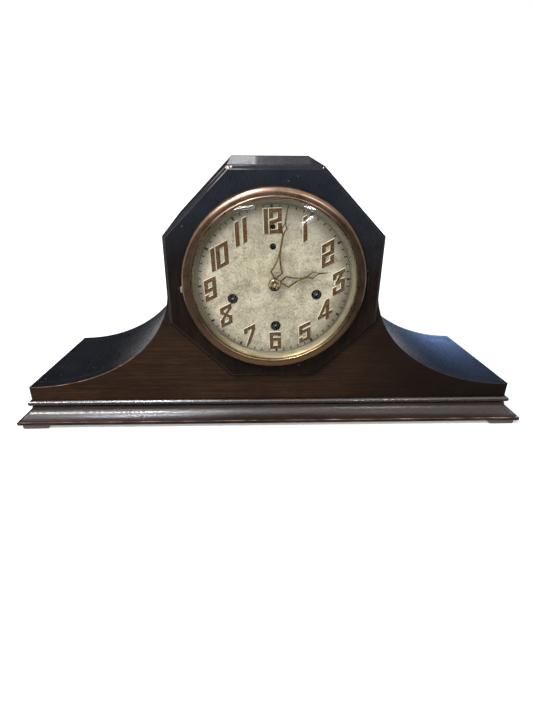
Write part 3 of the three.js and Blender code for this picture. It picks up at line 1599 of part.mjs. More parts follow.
function addDialAndHands(works) {
  const motion = motionPlace;
  piece(works, "dial_plate", dialPlate(), silveredDial());
  piece(works, "centre_arbor", centreArbor({
    cannon: direction([0, 0], motion),
    pinion: gapTowards([0, 0], arborPlaces.middle, pinionTeeth),
    wheel: direction([0, 0], arborPlaces.third),
  }), steel());
  piece(works, "minute_wheel", minuteWheel({
    wheel: gapTowards(motion, [0, 0], motionTeeth),
    pinion: direction(motion, [0, 0]),
  }), wheelBrass(), motion);
  piece(works, "hour_wheel", hourWheel(gapTowards([0, 0], motion, wheelTeeth)), wheelBrass());
  const minuteBore = circle(cannonPipeRadius() + seatGap, holeSides);
  const hourBore = circle(hourPipeRadius() + seatGap, holeSides);
  const minute = hand(minuteHandShares, minuteLength, minuteBossRadius, minuteBore, minuteFrontY);
  const hour = hand(hourHandShares, hourLength, hourBossRadius, hourBore, hourFrontY);
  piece(works, "minute_hand", minute, handBrass()).rotation.y = minuteAngle;
  piece(works, "hour_hand", hour, handBrass()).rotation.y = hourAngle;
  piece(works, "hand_nut", handNut(), copperBrass());
}

function addMovement(works) {
  piece(works, "front_plate", frontPlate(), plateBrass());
  piece(works, "back_plate", backPlate(), plateBrass());
  piece(works, "regulator_arbor", settingArbor(regulatorLeverLength), steel(), [0, regulatorRise]);
  piece(works, "selector_arbor", settingArbor(selectorLeverLength), steel(), [0, selectorRise]);
  const driven = { strike: arborPlaces.strikeWheel, time: arborPlaces.middle, chime: arborPlaces.drum };
  for (const name of ["strike", "time", "chime"]) {
    const toothAngle = direction(arborPlaces[name], driven[name]);
    piece(works, `${name}_winding_arbor`, windingArbor(), steel(), arborPlaces[name]);
    piece(works, `${name}_barrel`, barrel(toothAngle), wheelBrass(), arborPlaces[name]);
  }
  addTrain(works, "middle", arborPlaces.middle, {
    wheel: { radius: middleRadius, depth: middleDepth, towards: [0, 0] },
    pinion: { radius: greatRadius, depth: greatDepth, towards: arborPlaces.time },
  });
  addTrain(works, "third", arborPlaces.third, {
    wheel: { radius: thirdRadius, depth: thirdDepth, towards: arborPlaces.escape },
    pinion: { radius: centreRadius, depth: centreDepth, towards: [0, 0] },
  });
  addTrain(works, "strike", arborPlaces.strikeWheel, {
    wheel: { radius: strikeRadius, depth: middleDepth, towards: [0, 0] },
    pinion: { radius: greatRadius, depth: greatDepth, towards: arborPlaces.strike },
  });
  const escapePhase = gapTowards(arborPlaces.escape, arborPlaces.third, pinionTeeth);
  piece(works, "escape_wheel", escapeWheel(escapePhase), wheelBrass(), arborPlaces.escape);
}

// A wheel and its pinion on one arbor. The pinion is named by the radius of the wheel that drives it.
function addTrain(works, name, place, { wheel, pinion }) {
  const wheelAngle = direction(place, wheel.towards);
  const pinionAngle = gapTowards(place, pinion.towards, pinionTeeth);
  const geometry = trainArbor(
    { outline: wheelOutline(wheel.radius, wheelAngle), depth: wheel.depth },
    { outline: pinionOutline(pinion.radius, pinionAngle), depth: pinion.depth },
  );
  piece(works, `${name}_wheel`, geometry, wheelBrass(), place);
}

// A place given about the dial centre, turned with the works and set in the case.
function inCase([u, v]) {
  const [c, s] = [Math.cos(dialTwist), Math.sin(dialTwist)];
  return [u * c - v * s, headCentreZ + u * s + v * c];
}

// The pendulum hangs plumb whatever the movement's tilt, and its crutch with it.
function addPendulum(clock) {
  const pivot = inCase(arborPlaces.anchor);
  piece(clock, "pallet_anchor", palletAnchor(), steel(), pivot);
  piece(clock, "pendulum_cock", pendulumCock(), plateBrass(), pivot);
  piece(clock, "pendulum_rod", pendulumRod(), steel(), pivot);
  piece(clock, "pendulum_bob", pendulumBob(), paleBrass(), pivot);
}

function addChime(clock, works) {
  const phase = gapTowards(arborPlaces.drum, arborPlaces.chime, pinionTeeth);
  piece(works, "chime_drum", chimeDrum(phase), wheelBrass(), arborPlaces.drum);
  piece(works, "chime_frame", chimeFrame(), plateBrass());
  piece(clock, "gong_block_with_rods", gongBlockWithRods(), castIron());
  const [, pivotZ] = inCase(hammerPivot);
  const headZ = chimeRodHeight + chimeRodRadius + hammerLift - pivotZ;
  const [c, s] = [Math.cos(dialTwist), Math.sin(dialTwist)];
  const head = [-hammerReach * c + headZ * s, hammerReach * s + headZ * c];
  for (let k = 0; k < hammerCount; k++) {
    piece(works, `hammer_${k + 1}`, hammer(head, k), steel(), hammerPivot);
  }
}

const clock = new THREE.Group();
clock.position.y = -(glassFrontY + knobBackY) / 2;

const head = new THREE.Group();
head.position.z = headCentreZ;
const works = new THREE.Group();
works.position.z = headCentreZ;
works.rotation.y = -dialTwist;
clock.add(head, works);

addCase(clock);
addBackDoor(clock);
addBezel(head);
addDialAndHands(works);
addMovement(works);
addPendulum(clock);
addChime(clock, works);

export default clock;
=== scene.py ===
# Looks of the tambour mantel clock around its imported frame.
# Lengths in the dictionaries are millimetres: x along the clock, y back from the octagonal panel's
# face, z up from the table. place() turns them into Blender's metres.
import math
import random
from functools import partial

import bmesh
import bpy
from mathutils import Matrix, Quaternion, Vector


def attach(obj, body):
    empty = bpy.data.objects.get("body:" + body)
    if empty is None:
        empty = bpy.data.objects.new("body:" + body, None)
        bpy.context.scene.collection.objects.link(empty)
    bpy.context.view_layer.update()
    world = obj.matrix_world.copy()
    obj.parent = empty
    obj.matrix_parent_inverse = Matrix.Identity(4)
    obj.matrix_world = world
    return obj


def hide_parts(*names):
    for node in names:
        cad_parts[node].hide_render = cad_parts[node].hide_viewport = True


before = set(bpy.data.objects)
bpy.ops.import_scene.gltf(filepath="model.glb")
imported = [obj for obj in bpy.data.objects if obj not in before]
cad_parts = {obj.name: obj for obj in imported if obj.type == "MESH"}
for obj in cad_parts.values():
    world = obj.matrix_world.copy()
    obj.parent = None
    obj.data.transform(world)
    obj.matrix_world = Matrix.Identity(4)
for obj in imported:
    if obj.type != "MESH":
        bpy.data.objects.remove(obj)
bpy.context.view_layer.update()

print("frame loaded:", len(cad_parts), "nodes")

clock = {
    "panelFaceDepth": 64.8,  # the panel's face is this far in front of the footprint's middle
    "dialZ": 157.2,
    "dialTwist": 0.048,  # radians, anticlockwise: the dial sits a little crooked in its case
}


def place(x, y, z):
    return Vector((x, y - clock["panelFaceDepth"], z)) / 1000


def swung(x, z, turn):
    return x * math.cos(turn) - z * math.sin(turn), x * math.sin(turn) + z * math.cos(turn)


# A place on the dial: u to its right and v up from its centre, turned with it.
def onDial(u, y, v):
    x, z = swung(u, v, clock["dialTwist"])
    return place(x, y, z + clock["dialZ"])


def linear(hexCode):
    channels = [int(hexCode[i:i + 2], 16) / 255 for i in (1, 3, 5)]
    return [c / 12.92 if c <= 0.04045 else ((c + 0.055) / 1.055) ** 2.4 for c in channels] + [1.0]


# Materials

# Adds a node. Its inputs are values or links, in order or by number or name. Gives one output.
def addNode(tree, kind, inputs=(), out=0, stops=(), **settings):
    node = tree.nodes.new("ShaderNode" + kind)
    for name, value in settings.items():
        setattr(node, name, value)
    for socket, value in inputs.items() if isinstance(inputs, dict) else enumerate(inputs):
        if isinstance(value, bpy.types.NodeSocket):
            tree.links.new(value, node.inputs[socket])
        else:
            node.inputs[socket].default_value = value
    if stops:
        ramp = node.color_ramp.elements
        while len(ramp) < len(stops):
            ramp.new(0.5)
        for element, (position, shade) in zip(ramp, stops):
            element.position = position
            element.color = linear(shade)
    return node.outputs[out] if node.outputs else None


def newMaterial(name):
    material = bpy.data.materials.new(name)
    material.use_nodes = True
    material.node_tree.nodes.clear()
    return material, partial(addNode, material.node_tree)


# Object coordinates divided by a size in millimetres, one for all ways or one for each, so that a
# pattern of scale 1 has that size.
def spaced(add, size):
    sizes = size if isinstance(size, tuple) else (size,) * 3
    return add("VectorMath", [add("TexCoord", out="Object"), [1000 / s for s in sizes]], operation="MULTIPLY")


def fromDialCentre(add):
    centre = place(0, 0, clock["dialZ"])
    return add("VectorMath", [add("TexCoord", out="Object"), centre], operation="SUBTRACT")


# 1 inside small ragged spots at given places, 0 elsewhere.
def spotMask(add, spots):
    ragged = add("TexNoise", {"Vector": spaced(add, 1.3), "Scale": 1, "Detail": 3})
    total = 0.0
    for x, y, z, radius in spots:
        away = add(
            "VectorMath", [add("TexCoord", out="Object"), place(x, y, z)], out="Value", operation="DISTANCE"
        )
        edge = add("Math", [ragged, 2 * radius / 1000], operation="MULTIPLY")
        inside = add("Math", [away, edge], operation="LESS_THAN")
        total = add("Math", [total, inside], operation="MAXIMUM")
    return total


# Open-grained hardwood, stained nearly black and shellacked: fine streaks with darker pores show
# through a worn satin film, warmer where hands and light have thinned the stain.
def stainedWood(name, look):
    waviness = 0.05  # metres that the clouds move a fade's line
    speckSize = 0.055  # of the specks' spacing
    material, add = newMaterial(name)
    streaks, pores, clouds = [
        add("TexNoise", {"Vector": spaced(add, size), "Scale": 1, "Detail": detail, "Roughness": 0.62,
                         "Distortion": swirl})
        for size, detail, swirl in (
            (look["streakSize"], 6, 0.5), (look["poreSize"], 2, 0.0), ((46, 46, 38), 4, 0.6),
        )
    ]
    grain = add("ValToRGB", [streaks], stops=look["stain"])
    poreDark = add("MapRange", [pores, 0.36, 0.5, 0.55, 1.0])
    cloudLight = add("MapRange", [clouds, 0.3, 0.7, 0.72, 1.25])
    level = add("Math", [poreDark, cloudLight], operation="MULTIPLY")
    colour = add("VectorMath", {0: grain, "Scale": level}, operation="SCALE")
    for axis, shade, start, end in look.get("fades", []):  # the colour goes over to another shade: painted light and shade on some woods
        along = add("SeparateXYZ", [add("TexCoord", out="Object")], out=axis)
        wavy = add("Math", [clouds, waviness, along], operation="MULTIPLY_ADD")
        share = add(
            "MapRange", [wavy, start / 1000 + waviness / 2, end / 1000 + waviness / 2, 0.0, 0.9],
            interpolation_type="SMOOTHSTEP",
        )
        faded = add("VectorMath", {0: linear(shade)[:3], "Scale": level}, operation="SCALE")
        colour = add("Mix", {0: share, 6: colour, 7: faded}, out=2, data_type="RGBA")
    if "specks" in look:  # dust and tiny nicks, this far apart
        spacing, shade = look["specks"]
        cells = add("TexVoronoi", {"Vector": spaced(add, spacing), "Scale": 1})
        dot = add("Math", [cells, speckSize], operation="LESS_THAN")
        colour = add("Mix", {0: dot, 6: colour, 7: linear(shade)}, out=2, data_type="RGBA")
    if "chips" in look:  # bare wood where an edge is knocked
        shade, spots = look["chips"]
        colour = add("Mix", {0: spotMask(add, spots), 6: colour, 7: linear(shade)}, out=2, data_type="RGBA")
    film = add("MapRange", [clouds, 0.3, 0.7, *look["roughness"]])
    dullPores = add("MapRange", [pores, 0.4, 0.54, 0.25, -0.02])
    relief = add("Math", [pores, 0.6, streaks], operation="MULTIPLY_ADD")
    bump = add("Bump", {"Height": relief, "Strength": look.get("relief", 0.25),
                        "Distance": look.get("depth", 0.12) / 1000})
    finish = {
        "Base Color": colour, "Roughness": add("Math", [film, dullPores], operation="ADD"),
        "Normal": bump, "Specular IOR Level": look["gloss"],
    }
    if "coatRoughness" in look:  # polish that has sunk into the pores
        finish |= {
            "Coat Weight": add("MapRange", [pores, 0.4, 0.54, 0.3, 1.0]),
            "Coat Roughness": look["coatRoughness"], "Coat Normal": bump,
        }
    add("OutputMaterial", [add("BsdfPrincipled", finish)])
    return material


# Painted light and shade: takes a colour over to another shade on one side of the dial, from a share of the
# way across.
def shadedToSide(add, colour, shade, way, start, most):
    heading = add("VectorMath", [fromDialCentre(add)], operation="NORMALIZE")
    side = add("VectorMath", [heading, (way[0], 0, way[1])], out="Value", operation="DOT_PRODUCT")
    share = add("MapRange", [side, start, 1.0, 0.0, most], interpolation_type="SMOOTHSTEP")
    return add("Mix", {0: share, 6: colour, 7: linear(shade)}, out=2, data_type="RGBA")


# Metal with tarnish in clouds and fine marks left by its making.
def agedMetal(name, look):
    material, add = newMaterial(name)
    clouds = add("TexNoise", {"Vector": spaced(add, look["cloudSize"]), "Scale": 1, "Detail": 5,
                              "Roughness": 0.6})
    if look.get("turned"):  # tool marks run round the dial's axis
        fromAxis = fromDialCentre(add)
        flat = add("VectorMath", [fromAxis, (1, 0, 1)], operation="MULTIPLY")
        radius = add("VectorMath", [flat], out="Value", operation="LENGTH")
        path = add("Math", [radius, add("SeparateXYZ", [fromAxis], out="Y")], operation="SUBTRACT")
        marks = add("TexNoise", {"W": path, "Scale": 1000 / look["markSize"], "Detail": 2},
                    noise_dimensions="1D")
    else:
        marks = add("TexNoise", {"Vector": spaced(add, look["markSize"]), "Scale": 1, "Detail": 3})
    colour = add("ValToRGB", [clouds], stops=list(zip((0.3, 0.5, 0.72), look["shades"])))
    if "shadeInHole" in look:  # painted shade, black from one distance to another round an arbor's axis
        axis, unshadedTo, shadedFrom = look["shadeInHole"]
        flat = add("VectorMath", [add("TexCoord", out="Object"), (1, 0, 1)], operation="MULTIPLY")
        away = add("VectorMath", [flat, (axis.x, 0, axis.z)], out="Value", operation="DISTANCE")
        share = add("MapRange", [away, unshadedTo / 1000, shadedFrom / 1000, 0.0, 1.0])
        colour = add("Mix", {0: share, 6: colour, 7: linear("#0b0b0b")}, out=2, data_type="RGBA")
    # painted light and shade on sides of the dial
    for side in look.get("paintedLightAndShade", []):
        colour = shadedToSide(add, colour, *side)
    roughness = add("MapRange", [clouds, 0.35, 0.65, *look["roughness"]])
    bump = add("Bump", {"Height": marks, "Strength": look.get("relief", 0.1), "Distance": 0.00006})
    add("OutputMaterial", [add("BsdfPrincipled", {
        "Base Color": colour, "Roughness": roughness, "Normal": bump,
        "Metallic": look.get("metallic", 1.0),
    })])
    return material


topStain = [(0.3, "#0a0b0e"), (0.55, "#111318"), (0.75, "#1a1a1d")]
mouldingStain = [(0.3, "#0e0907"), (0.52, "#20140e"), (0.75, "#3b261a")]
mouldingWood = {
    "stain": mouldingStain, "roughness": (0.3, 0.4), "gloss": 0.35, "coatRoughness": 0.23, "relief": 1.0,
    "depth": 0.1,
}
edgeWood = {
    "streakSize": (30, 30, 3), "poreSize": (2, 2, 0.5),
    "stain": [(0.35, "#14110f"), (0.55, "#2a1f19"), (0.75, "#4c3a2f")], "roughness": (0.4, 0.5),
    "gloss": 0.14,
}
woods = {
    "ebonisedVeneer": {  # near-black stain on a plain veneer, grain upright, with a painted bluish sheen towards the top
        "streakSize": (5, 8, 26), "poreSize": (0.9, 0.9, 6),
        "stain": [(0.3, "#100a06"), (0.5, "#180f0a"), (0.72, "#20150e")],
        "fades": [("Z", "#1a1f27", 140, 235)], "roughness": (0.38, 0.5), "gloss": 0.09,
        "specks": (13, "#4a4542"),
        "chips": ("#c9bda8", [
            (-41, 0.8, 257.5, 1.5), (-38, 1.4, 258.4, 1.1), (-12.5, 0.6, 258.6, 1.0), (40.5, 1.0, 257.8, 0.8),
        ]),
    },
    "stainedWalnut": {  # the front board, grain along the clock, blacker to the top, and to the right as painted shade
        "streakSize": (85, 6, 1.5), "poreSize": (9, 0.5, 0.42),
        "stain": [(0.28, "#1a0f07"), (0.5, "#2a1a0f"), (0.74, "#3e2815")],
        "fades": [("Z", "#140e0b", 76, 150), ("X", "#110905", 20, 180)],
        "roughness": (0.4, 0.52), "gloss": 0.12,
    },
    "shellackedTop": {  # the bent top, black and glossier, dusty
        "streakSize": (1.8, 70, 2), "poreSize": (1.2, 2.0, 1.2), "stain": topStain,
        "roughness": (0.27, 0.36), "gloss": 0.16, "relief": 1.0, "depth": 0.2, "specks": (11, "#8a8378"),
    },
    "polishedHead": {  # the head's top board keeps its polish and mirrors the room at a low angle
        "streakSize": (1.8, 70, 2), "poreSize": (0.5, 8, 0.5), "stain": topStain,
        "roughness": (0.1, 0.16), "gloss": 0.4, "relief": 0.05, "specks": (11, "#8a8378"),
    },
    "rubbedMoulding": mouldingWood | {  # the plinth's front length, its cove rubbed bright
        "streakSize": (60, 2.5, 1.4), "poreSize": (2.6, 0.9, 0.9),
        "chips": ("#a98f70", [(264.5, -9.6, 8, 1.8), (259, -10, 6.6, 1.3), (207, -10, 6.4, 1.4)]),
    },
    "rubbedMouldingEnd": mouldingWood | {  # the same with the grain along the plinth's ends
        "streakSize": (2.5, 60, 1.4), "poreSize": (0.9, 2.6, 0.9),
        "chips": ("#a98f70", [(265, -8.8, 8, 1.8)]),
    },
    "polishedBead": {  # the plinth's bead, polished by dusting
        "streakSize": (60, 2.5, 1.4), "poreSize": (5, 0.9, 0.9), "stain": mouldingStain,
        "roughness": (0.2, 0.26), "gloss": 0.9, "coatRoughness": 0.14,
    },
    "panelEdgeHighlight": edgeWood | {  # the panel's edge, with a painted grey highlight at its upper left
        "fades": [("X", "#7d7771", -12, -34), ("Z", "#1c1815", 247, 232)],
    },
    "wornEdge": edgeWood | {  # edges where the stain has worn through to the wood
        "streakSize": (20, 20, 2), "stain": [(0.3, "#251a14"), (0.5, "#5c4436"), (0.68, "#a08373")],
        "roughness": (0.35, 0.5), "gloss": 0.2,
    },
    "dullEdge": edgeWood,  # edges only a little lighter than the face
    "tanLeftEdge": edgeWood | {  # the front board's edge, tan along the left shoulder and going over to brown to the right
        "streakSize": (20, 20, 2), "stain": [(0.3, "#3f2b20"), (0.5, "#79563f"), (0.68, "#ab8264")],
        "fades": [("X", "#2a1f19", -150, -100)],
    },
    "stainedBack": {  # back board and door, grain along the clock
        "streakSize": (80, 6, 1.8), "poreSize": (8, 0.6, 0.5),
        "stain": [(0.3, "#2b1a12"), (0.5, "#432a1b"), (0.72, "#5a3b26")],
        "roughness": (0.5, 0.62), "gloss": 0.2,
    },
    "rawBirch": {  # unfinished inside the case
        "streakSize": (3, 70, 2.5), "poreSize": (0.6, 6, 0.6),
        "stain": [(0.3, "#7a5c3b"), (0.5, "#94724b"), (0.72, "#ab8a60")],
        "roughness": (0.65, 0.8), "gloss": 0.2,
    },
}
(
    ebonisedVeneer, stainedWalnut, shellackedTop, polishedHead, rubbedMoulding, rubbedMouldingEnd,
    polishedBead, panelEdgeHighlight, wornEdge, dullEdge, tanLeftEdge, stainedBack, rawBirch,
) = [stainedWood(name, look) for name, look in woods.items()]

metals = {
    "spunBezel": {  # brass under aged lacquer, spun: copper-brown satin with faint turning lines, painted shade at the sides and a painted highlight below
        "cloudSize": 14, "markSize": 0.7, "turned": True, "relief": 0.15,
        "shades": ("#765d4d", "#927764", "#aa9078"), "roughness": (0.25, 0.32),
        "paintedLightAndShade": [
            ("#4a382b", (0.99, 0.1), 0.15, 0.75), ("#5a4535", (-0.99, -0.1), 0.3, 0.6),
            ("#a58460", (0.05, -0.99), 0.3, 0.9),
        ],
    },
    "reflectorBrass": {  # polished inner cone, pale gold below, with painted shade to the left and the top
        "cloudSize": 40, "markSize": 0.8, "turned": True, "relief": 0.02,
        "shades": ("#716950", "#80775d", "#90866c"), "roughness": (0.28, 0.34),
        "paintedLightAndShade": [("#504b3c", (0.25, 0.97), -0.95, 0.95), ("#3d3724", (-0.99, 0.1), -0.3, 0.95)],
    },
    "rolledPlate": {  # movement plates, rolled and lacquered brass
        "cloudSize": (25, 25, 18), "markSize": (0.4, 0.4, 12),
        "shades": ("#8c6c34", "#b08c49", "#c8a55e"), "roughness": (0.28, 0.42),
    },
    "cutWheel": {  # wheels and barrels, turned brass
        "cloudSize": 9, "markSize": 0.35, "relief": 0.12,
        "shades": ("#a3803c", "#c29d54", "#d8b76f"), "roughness": (0.25, 0.38),
    },
    "stampedHand": {  # gilt steel wire, dulled to gold brown
        "cloudSize": 6, "markSize": 0.3,
        "shades": ("#32270f", "#4b3a18", "#766031"), "roughness": (0.36, 0.46),
    },
    "paintedShadeBrass": {  # brown-black painted shade on the hands' sides, under the nut's collar and in its groove
        "cloudSize": 4, "markSize": 0.3,
        "shades": ("#0d0904", "#1a1208", "#2b1e0e"), "roughness": (0.5, 0.6),
    },
    "turnedNut": {  # the hand nut, bright above, with painted shade below
        "cloudSize": 5, "markSize": 0.3, "turned": True,
        "shades": ("#6f5a36", "#907850", "#b8a178"), "roughness": (0.2, 0.26),
        "paintedLightAndShade": [("#0b0703", (0.2, -2.8), -0.6, 0.99)],
    },
    "paleHighlightTab": {  # the lift tab, painted pale as a highlight
        "cloudSize": 4, "markSize": 0.6,
        "shades": ("#d2b98c", "#e6d6b4", "#f4ebd4"), "roughness": (0.4, 0.5),
    },
    "turnedSteel": {  # arbors, grey bright steel with a brown cast
        "cloudSize": 5, "markSize": 0.3,
        "shades": ("#6d6a66", "#8b8986", "#a5a4a2"), "roughness": (0.28, 0.42),
    },
    "blackSteel": {  # blued screws and hinge
        "cloudSize": 7, "markSize": 0.3,
        "shades": ("#1e1d1d", "#2a2928", "#3b3938"), "roughness": (0.36, 0.5),
    },
    "castIron": {  # sand-cast block, painted black and rough
        "cloudSize": 3, "markSize": 0.9, "relief": 0.8, "metallic": 0.5,
        "shades": ("#1d1d1e", "#29292a", "#373737"), "roughness": (0.55, 0.75),
    },
}
(
    spunBezel, reflectorBrass, rolledPlate, cutWheel, stampedHand, paintedShadeBrass, turnedNut, paleHighlightTab,
    turnedSteel, blackSteel, castIron,
) = [agedMetal(name, look) for name, look in metals.items()]

wash = {
    "shades": [(0.33, "#7c7460"), (0.5, "#9c957e"), (0.66, "#b3ac95")],
    "hairShade": "#625840", "hairs": [(26, 0.007, 0.8), (15, 0.01, 0.7), (8, 0.014, 0.6)],
    "speckShade": "#554b36", "specks": [(1.7, 0.2), (3.1, 0.17), (6.5, 0.11)],
    # Painted shade: grey towards the top and dark by the rim, most of it at the upper right and some at the
    # left: from one radius to another, share, shade, the way it leans, and where along that way it starts and
    # is full.
    "rings": [
        (24, 75, 0.65, "#8f8c85", (0.1, 0, 0.99), 0, 55),
        (54, 73.5, 0.92, "#47432f", (0.85, 0, 0.5), -50, 30),
        (62, 73, 0.92, "#47432f", (-1, 0, 0.1), -10, 45),
    ],
}


# Silvered brass: a cream, matt wash with age specks and hair-fine curved scratches, and painted shade by the
# rim and towards the top.
def silveredWash():
    material, add = newMaterial("silveredWash")
    flat = add("VectorMath", [fromDialCentre(add), (1, 0, 1)], operation="MULTIPLY")
    radius = add("VectorMath", [flat], out="Value", operation="LENGTH")
    clouds = add("TexNoise", {"Vector": spaced(add, 22), "Scale": 1, "Detail": 5, "Roughness": 0.6,
                              "Distortion": 0.8})
    mottle = add("TexNoise", {"Vector": spaced(add, 1.6), "Scale": 1, "Detail": 5, "Roughness": 0.6})
    mottleShare = 0.7
    blend = add("Math", [mottle, mottleShare, clouds], operation="MULTIPLY_ADD")
    shifted = add("Math", [blend, mottleShare / 2], operation="SUBTRACT")
    colour = add("ValToRGB", [shifted], stops=wash["shades"])
    for inner, outer, most, shade, way, start, end in wash["rings"]:
        side = add("VectorMath", [flat, way], out="Value", operation="DOT_PRODUCT")
        leaning = add("MapRange", [side, start / 1000, end / 1000, 0.1, 1.0])
        ring = add("MapRange", [radius, inner / 1000, outer / 1000, 0.0, most],
                   interpolation_type="SMOOTHSTEP")
        share = add("Math", [ring, leaning], operation="MULTIPLY")
        colour = add("Mix", {0: share, 6: colour, 7: linear(shade)}, out=2, data_type="RGBA")
    for size, width, strength in wash["hairs"]:  # thin contours of swirling noise
        swirl = add("TexNoise", {"Vector": spaced(add, size), "Scale": 1, "Detail": 1,
                                 "Roughness": 0.6, "Distortion": 1.6})
        level = add("Math", [swirl, 0.5], operation="SUBTRACT")
        line = add("MapRange", [add("Math", [level], operation="ABSOLUTE"), 0.0, width, strength, 0.0])
        colour = add("Mix", {0: line, 6: colour, 7: linear(wash["hairShade"])}, out=2, data_type="RGBA")
    for spacing, reach in wash["specks"]:
        cells = add("TexVoronoi", {"Vector": spaced(add, spacing), "Scale": 1})
        dot = add("MapRange", [cells, reach * 0.5, reach, 0.6, 0.0])
        colour = add("Mix", {0: dot, 6: colour, 7: linear(wash["speckShade"])}, out=2, data_type="RGBA")
    bump = add("Bump", {"Height": mottle, "Strength": 0.12, "Distance": 0.0001})
    add("OutputMaterial", [add("BsdfPrincipled", {
        "Base Color": colour, "Normal": bump, "Roughness": 0.48, "Specular IOR Level": 0.12,
        "Metallic": 0.1,
    })])
    return material


# Matt enamel paint with faint unevenness.
def paint(name, shades, roughness):
    material, add = newMaterial(name)
    uneven = add("TexNoise", {"Vector": spaced(add, 1.1), "Scale": 1, "Detail": 4})
    add("OutputMaterial", [add("BsdfPrincipled", {
        "Base Color": add("ValToRGB", [uneven], stops=shades), "Roughness": roughness,
        "Normal": add("Bump", {"Height": uneven, "Strength": 0.15, "Distance": 0.00005}),
        "Specular IOR Level": 0.02,
    })])
    return material


# Clear blown glass: mirrors a little, bends what is behind it a little, and lets lamps through.
def domedGlass():
    material, add = newMaterial("domedGlass")
    blown = add("BsdfPrincipled", {
        "Base Color": (0.985, 0.985, 0.98, 1), "Roughness": 0.0, "Transmission Weight": 1.0,
        "IOR": 1.1,  # old thin glass mirrors less than new
        "Coat Weight": 1.0, "Coat IOR": 1.22, "Coat Roughness": 0.035,  # draws the lamps' streaks
    })
    rays = [add("LightPath", out=ray) for ray in ("Is Shadow Ray", "Is Diffuse Ray")]
    clear = add("BsdfTransparent", [(0.975, 0.975, 0.97, 1)])
    add("OutputMaterial", [add("MixShader", [add("Math", rays, operation="MAXIMUM"), blown, clear])])
    return material


silveredDial = silveredWash()
numeralBrown = paint("numeralBrown", [(0.3, "#332211"), (0.5, "#48331a"), (0.7, "#604829")], 0.6)
numeralShade = paint("numeralShade", [(0.3, "#120d08"), (0.7, "#20170e")], 0.6)
numeralHighlight = paint("numeralHighlight", [(0.3, "#cfc7ac"), (0.7, "#e9e2ca")], 0.4)
trackBlack = paint("trackBlack", [(0.3, "#030302"), (0.6, "#0a0908")], 0.8)
eyeletBlack = paint("eyeletBlack", [(0.3, "#020202"), (0.6, "#060605")], 0.8)
glass = domedGlass()
print("materials made")


# Shapes

sides = {"left": -1, "right": 1}


def cleanMesh(name, points, faces, merge=1e-6):
    mesh = bpy.data.meshes.new(name)
    mesh.from_pydata([tuple(p) for p in points], [], faces)
    shape = bmesh.new()
    shape.from_mesh(mesh)
    bmesh.ops.remove_doubles(shape, verts=shape.verts, dist=merge)
    bmesh.ops.recalc_face_normals(shape, faces=shape.faces)
    shape.to_mesh(mesh)
    shape.free()
    return mesh


# Skin over rings of points; a looped skin joins its last ring to its first.
def lofted(name, rings, looped=False):
    count = len(rings[0])
    faces = []
    for r in range(len(rings) if looped else len(rings) - 1):
        a, b = r * count, (r + 1) % len(rings) * count
        faces += [(a + i, a + (i + 1) % count, b + (i + 1) % count, b + i) for i in range(count)]
    if not looped:
        last = (len(rings) - 1) * count
        faces += [tuple(range(count)), tuple(range(last, last + count))]
    return cleanMesh(name, [p for ring in rings for p in ring], faces)


# A profile of (radius, y) turned about an axis along y.
def turned(name, profile, steps, centre=(0, clock["dialZ"])):
    rings = []
    for i in range(steps):
        x, z = math.cos(math.tau * i / steps), math.sin(math.tau * i / steps)
        rings.append([place(centre[0] + r * x, y, centre[1] + r * z) for r, y in profile])
    return lofted(name, rings, looped=True)


# Points along an arc of an ellipse, from one share of a full turn to another.
def arc(x, z, across, up, start, end, steps):
    angles = [math.tau * (start + (end - start) * i / steps) for i in range(steps + 1)]
    return [(x + across * math.cos(a), z + up * math.sin(a)) for a in angles]


def circle(radius, steps, x=0, z=0):
    return arc(x, z, radius, radius, 0, 1, steps)[:-1]


def addObject(name, data):
    thing = bpy.data.objects.new(name, data)
    bpy.context.scene.collection.objects.link(thing)
    return thing


# Outlines with their holes, given a thickness and rounded edges.
def plate(name, loops, yFront, yBack, edge, toPlace=place, edgeSteps=2, grow=0.0):
    curve = bpy.data.curves.new(name, "CURVE")
    curve.dimensions = "2D"
    curve.fill_mode = "BOTH"
    for loop in loops:
        spline = curve.splines.new("POLY")
        spline.points.add(len(loop) - 1)
        for point, (x, z) in zip(spline.points, loop):
            point.co = (x, z, 0, 1)
        spline.use_cyclic_u = True
    curve.extrude = (yBack - yFront) / 2 - edge
    curve.bevel_depth = edge
    curve.bevel_resolution = edgeSteps
    curve.offset = grow - edge
    drawn = addObject(name, curve)
    mesh = bpy.data.meshes.new_from_object(drawn.evaluated_get(bpy.context.evaluated_depsgraph_get()))
    bpy.data.objects.remove(drawn)
    bpy.data.curves.remove(curve)
    points = [toPlace(v.co.x, (yFront + yBack) / 2 - v.co.z, v.co.y) for v in mesh.vertices]
    faces = [tuple(p.vertices) for p in mesh.polygons]
    bpy.data.meshes.remove(mesh)
    return cleanMesh(name, points, faces, merge=2e-6)


def joined(name, meshes):
    shape = bmesh.new()
    for mesh in meshes:
        shape.from_mesh(mesh)
    whole = bpy.data.meshes.new(name)
    shape.to_mesh(whole)
    shape.free()
    return whole


# Makes the piece: mesh, materials, the body that it rides on, the nodes that it stands for.
def addPiece(mesh, body, materials, nodes=(), edge=0, sharp=35):
    piece = addObject(mesh.name, mesh)
    for material in materials:
        mesh.materials.append(material)
    mesh.polygons.foreach_set("use_smooth", [True] * len(mesh.polygons))
    mesh.set_sharp_from_angle(angle=math.radians(sharp))
    if edge:  # the rounding takes the second material
        rounding = piece.modifiers.new("roundedEdge", "BEVEL")
        rounding.width = edge / 1000
        rounding.segments = 2
        rounding.limit_method = "ANGLE"
        rounding.angle_limit = math.radians(30)
        rounding.material = 1
    piece.modifiers.new("flatShading", "WEIGHTED_NORMAL").keep_sharp = True
    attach(piece, body)
    if nodes:
        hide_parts(*nodes)


# Faces that pass a test take another of the mesh's materials.
def repaint(mesh, index, test=lambda face: True):
    for face in mesh.polygons:
        if test(face):
            face.material_index = index


# Case

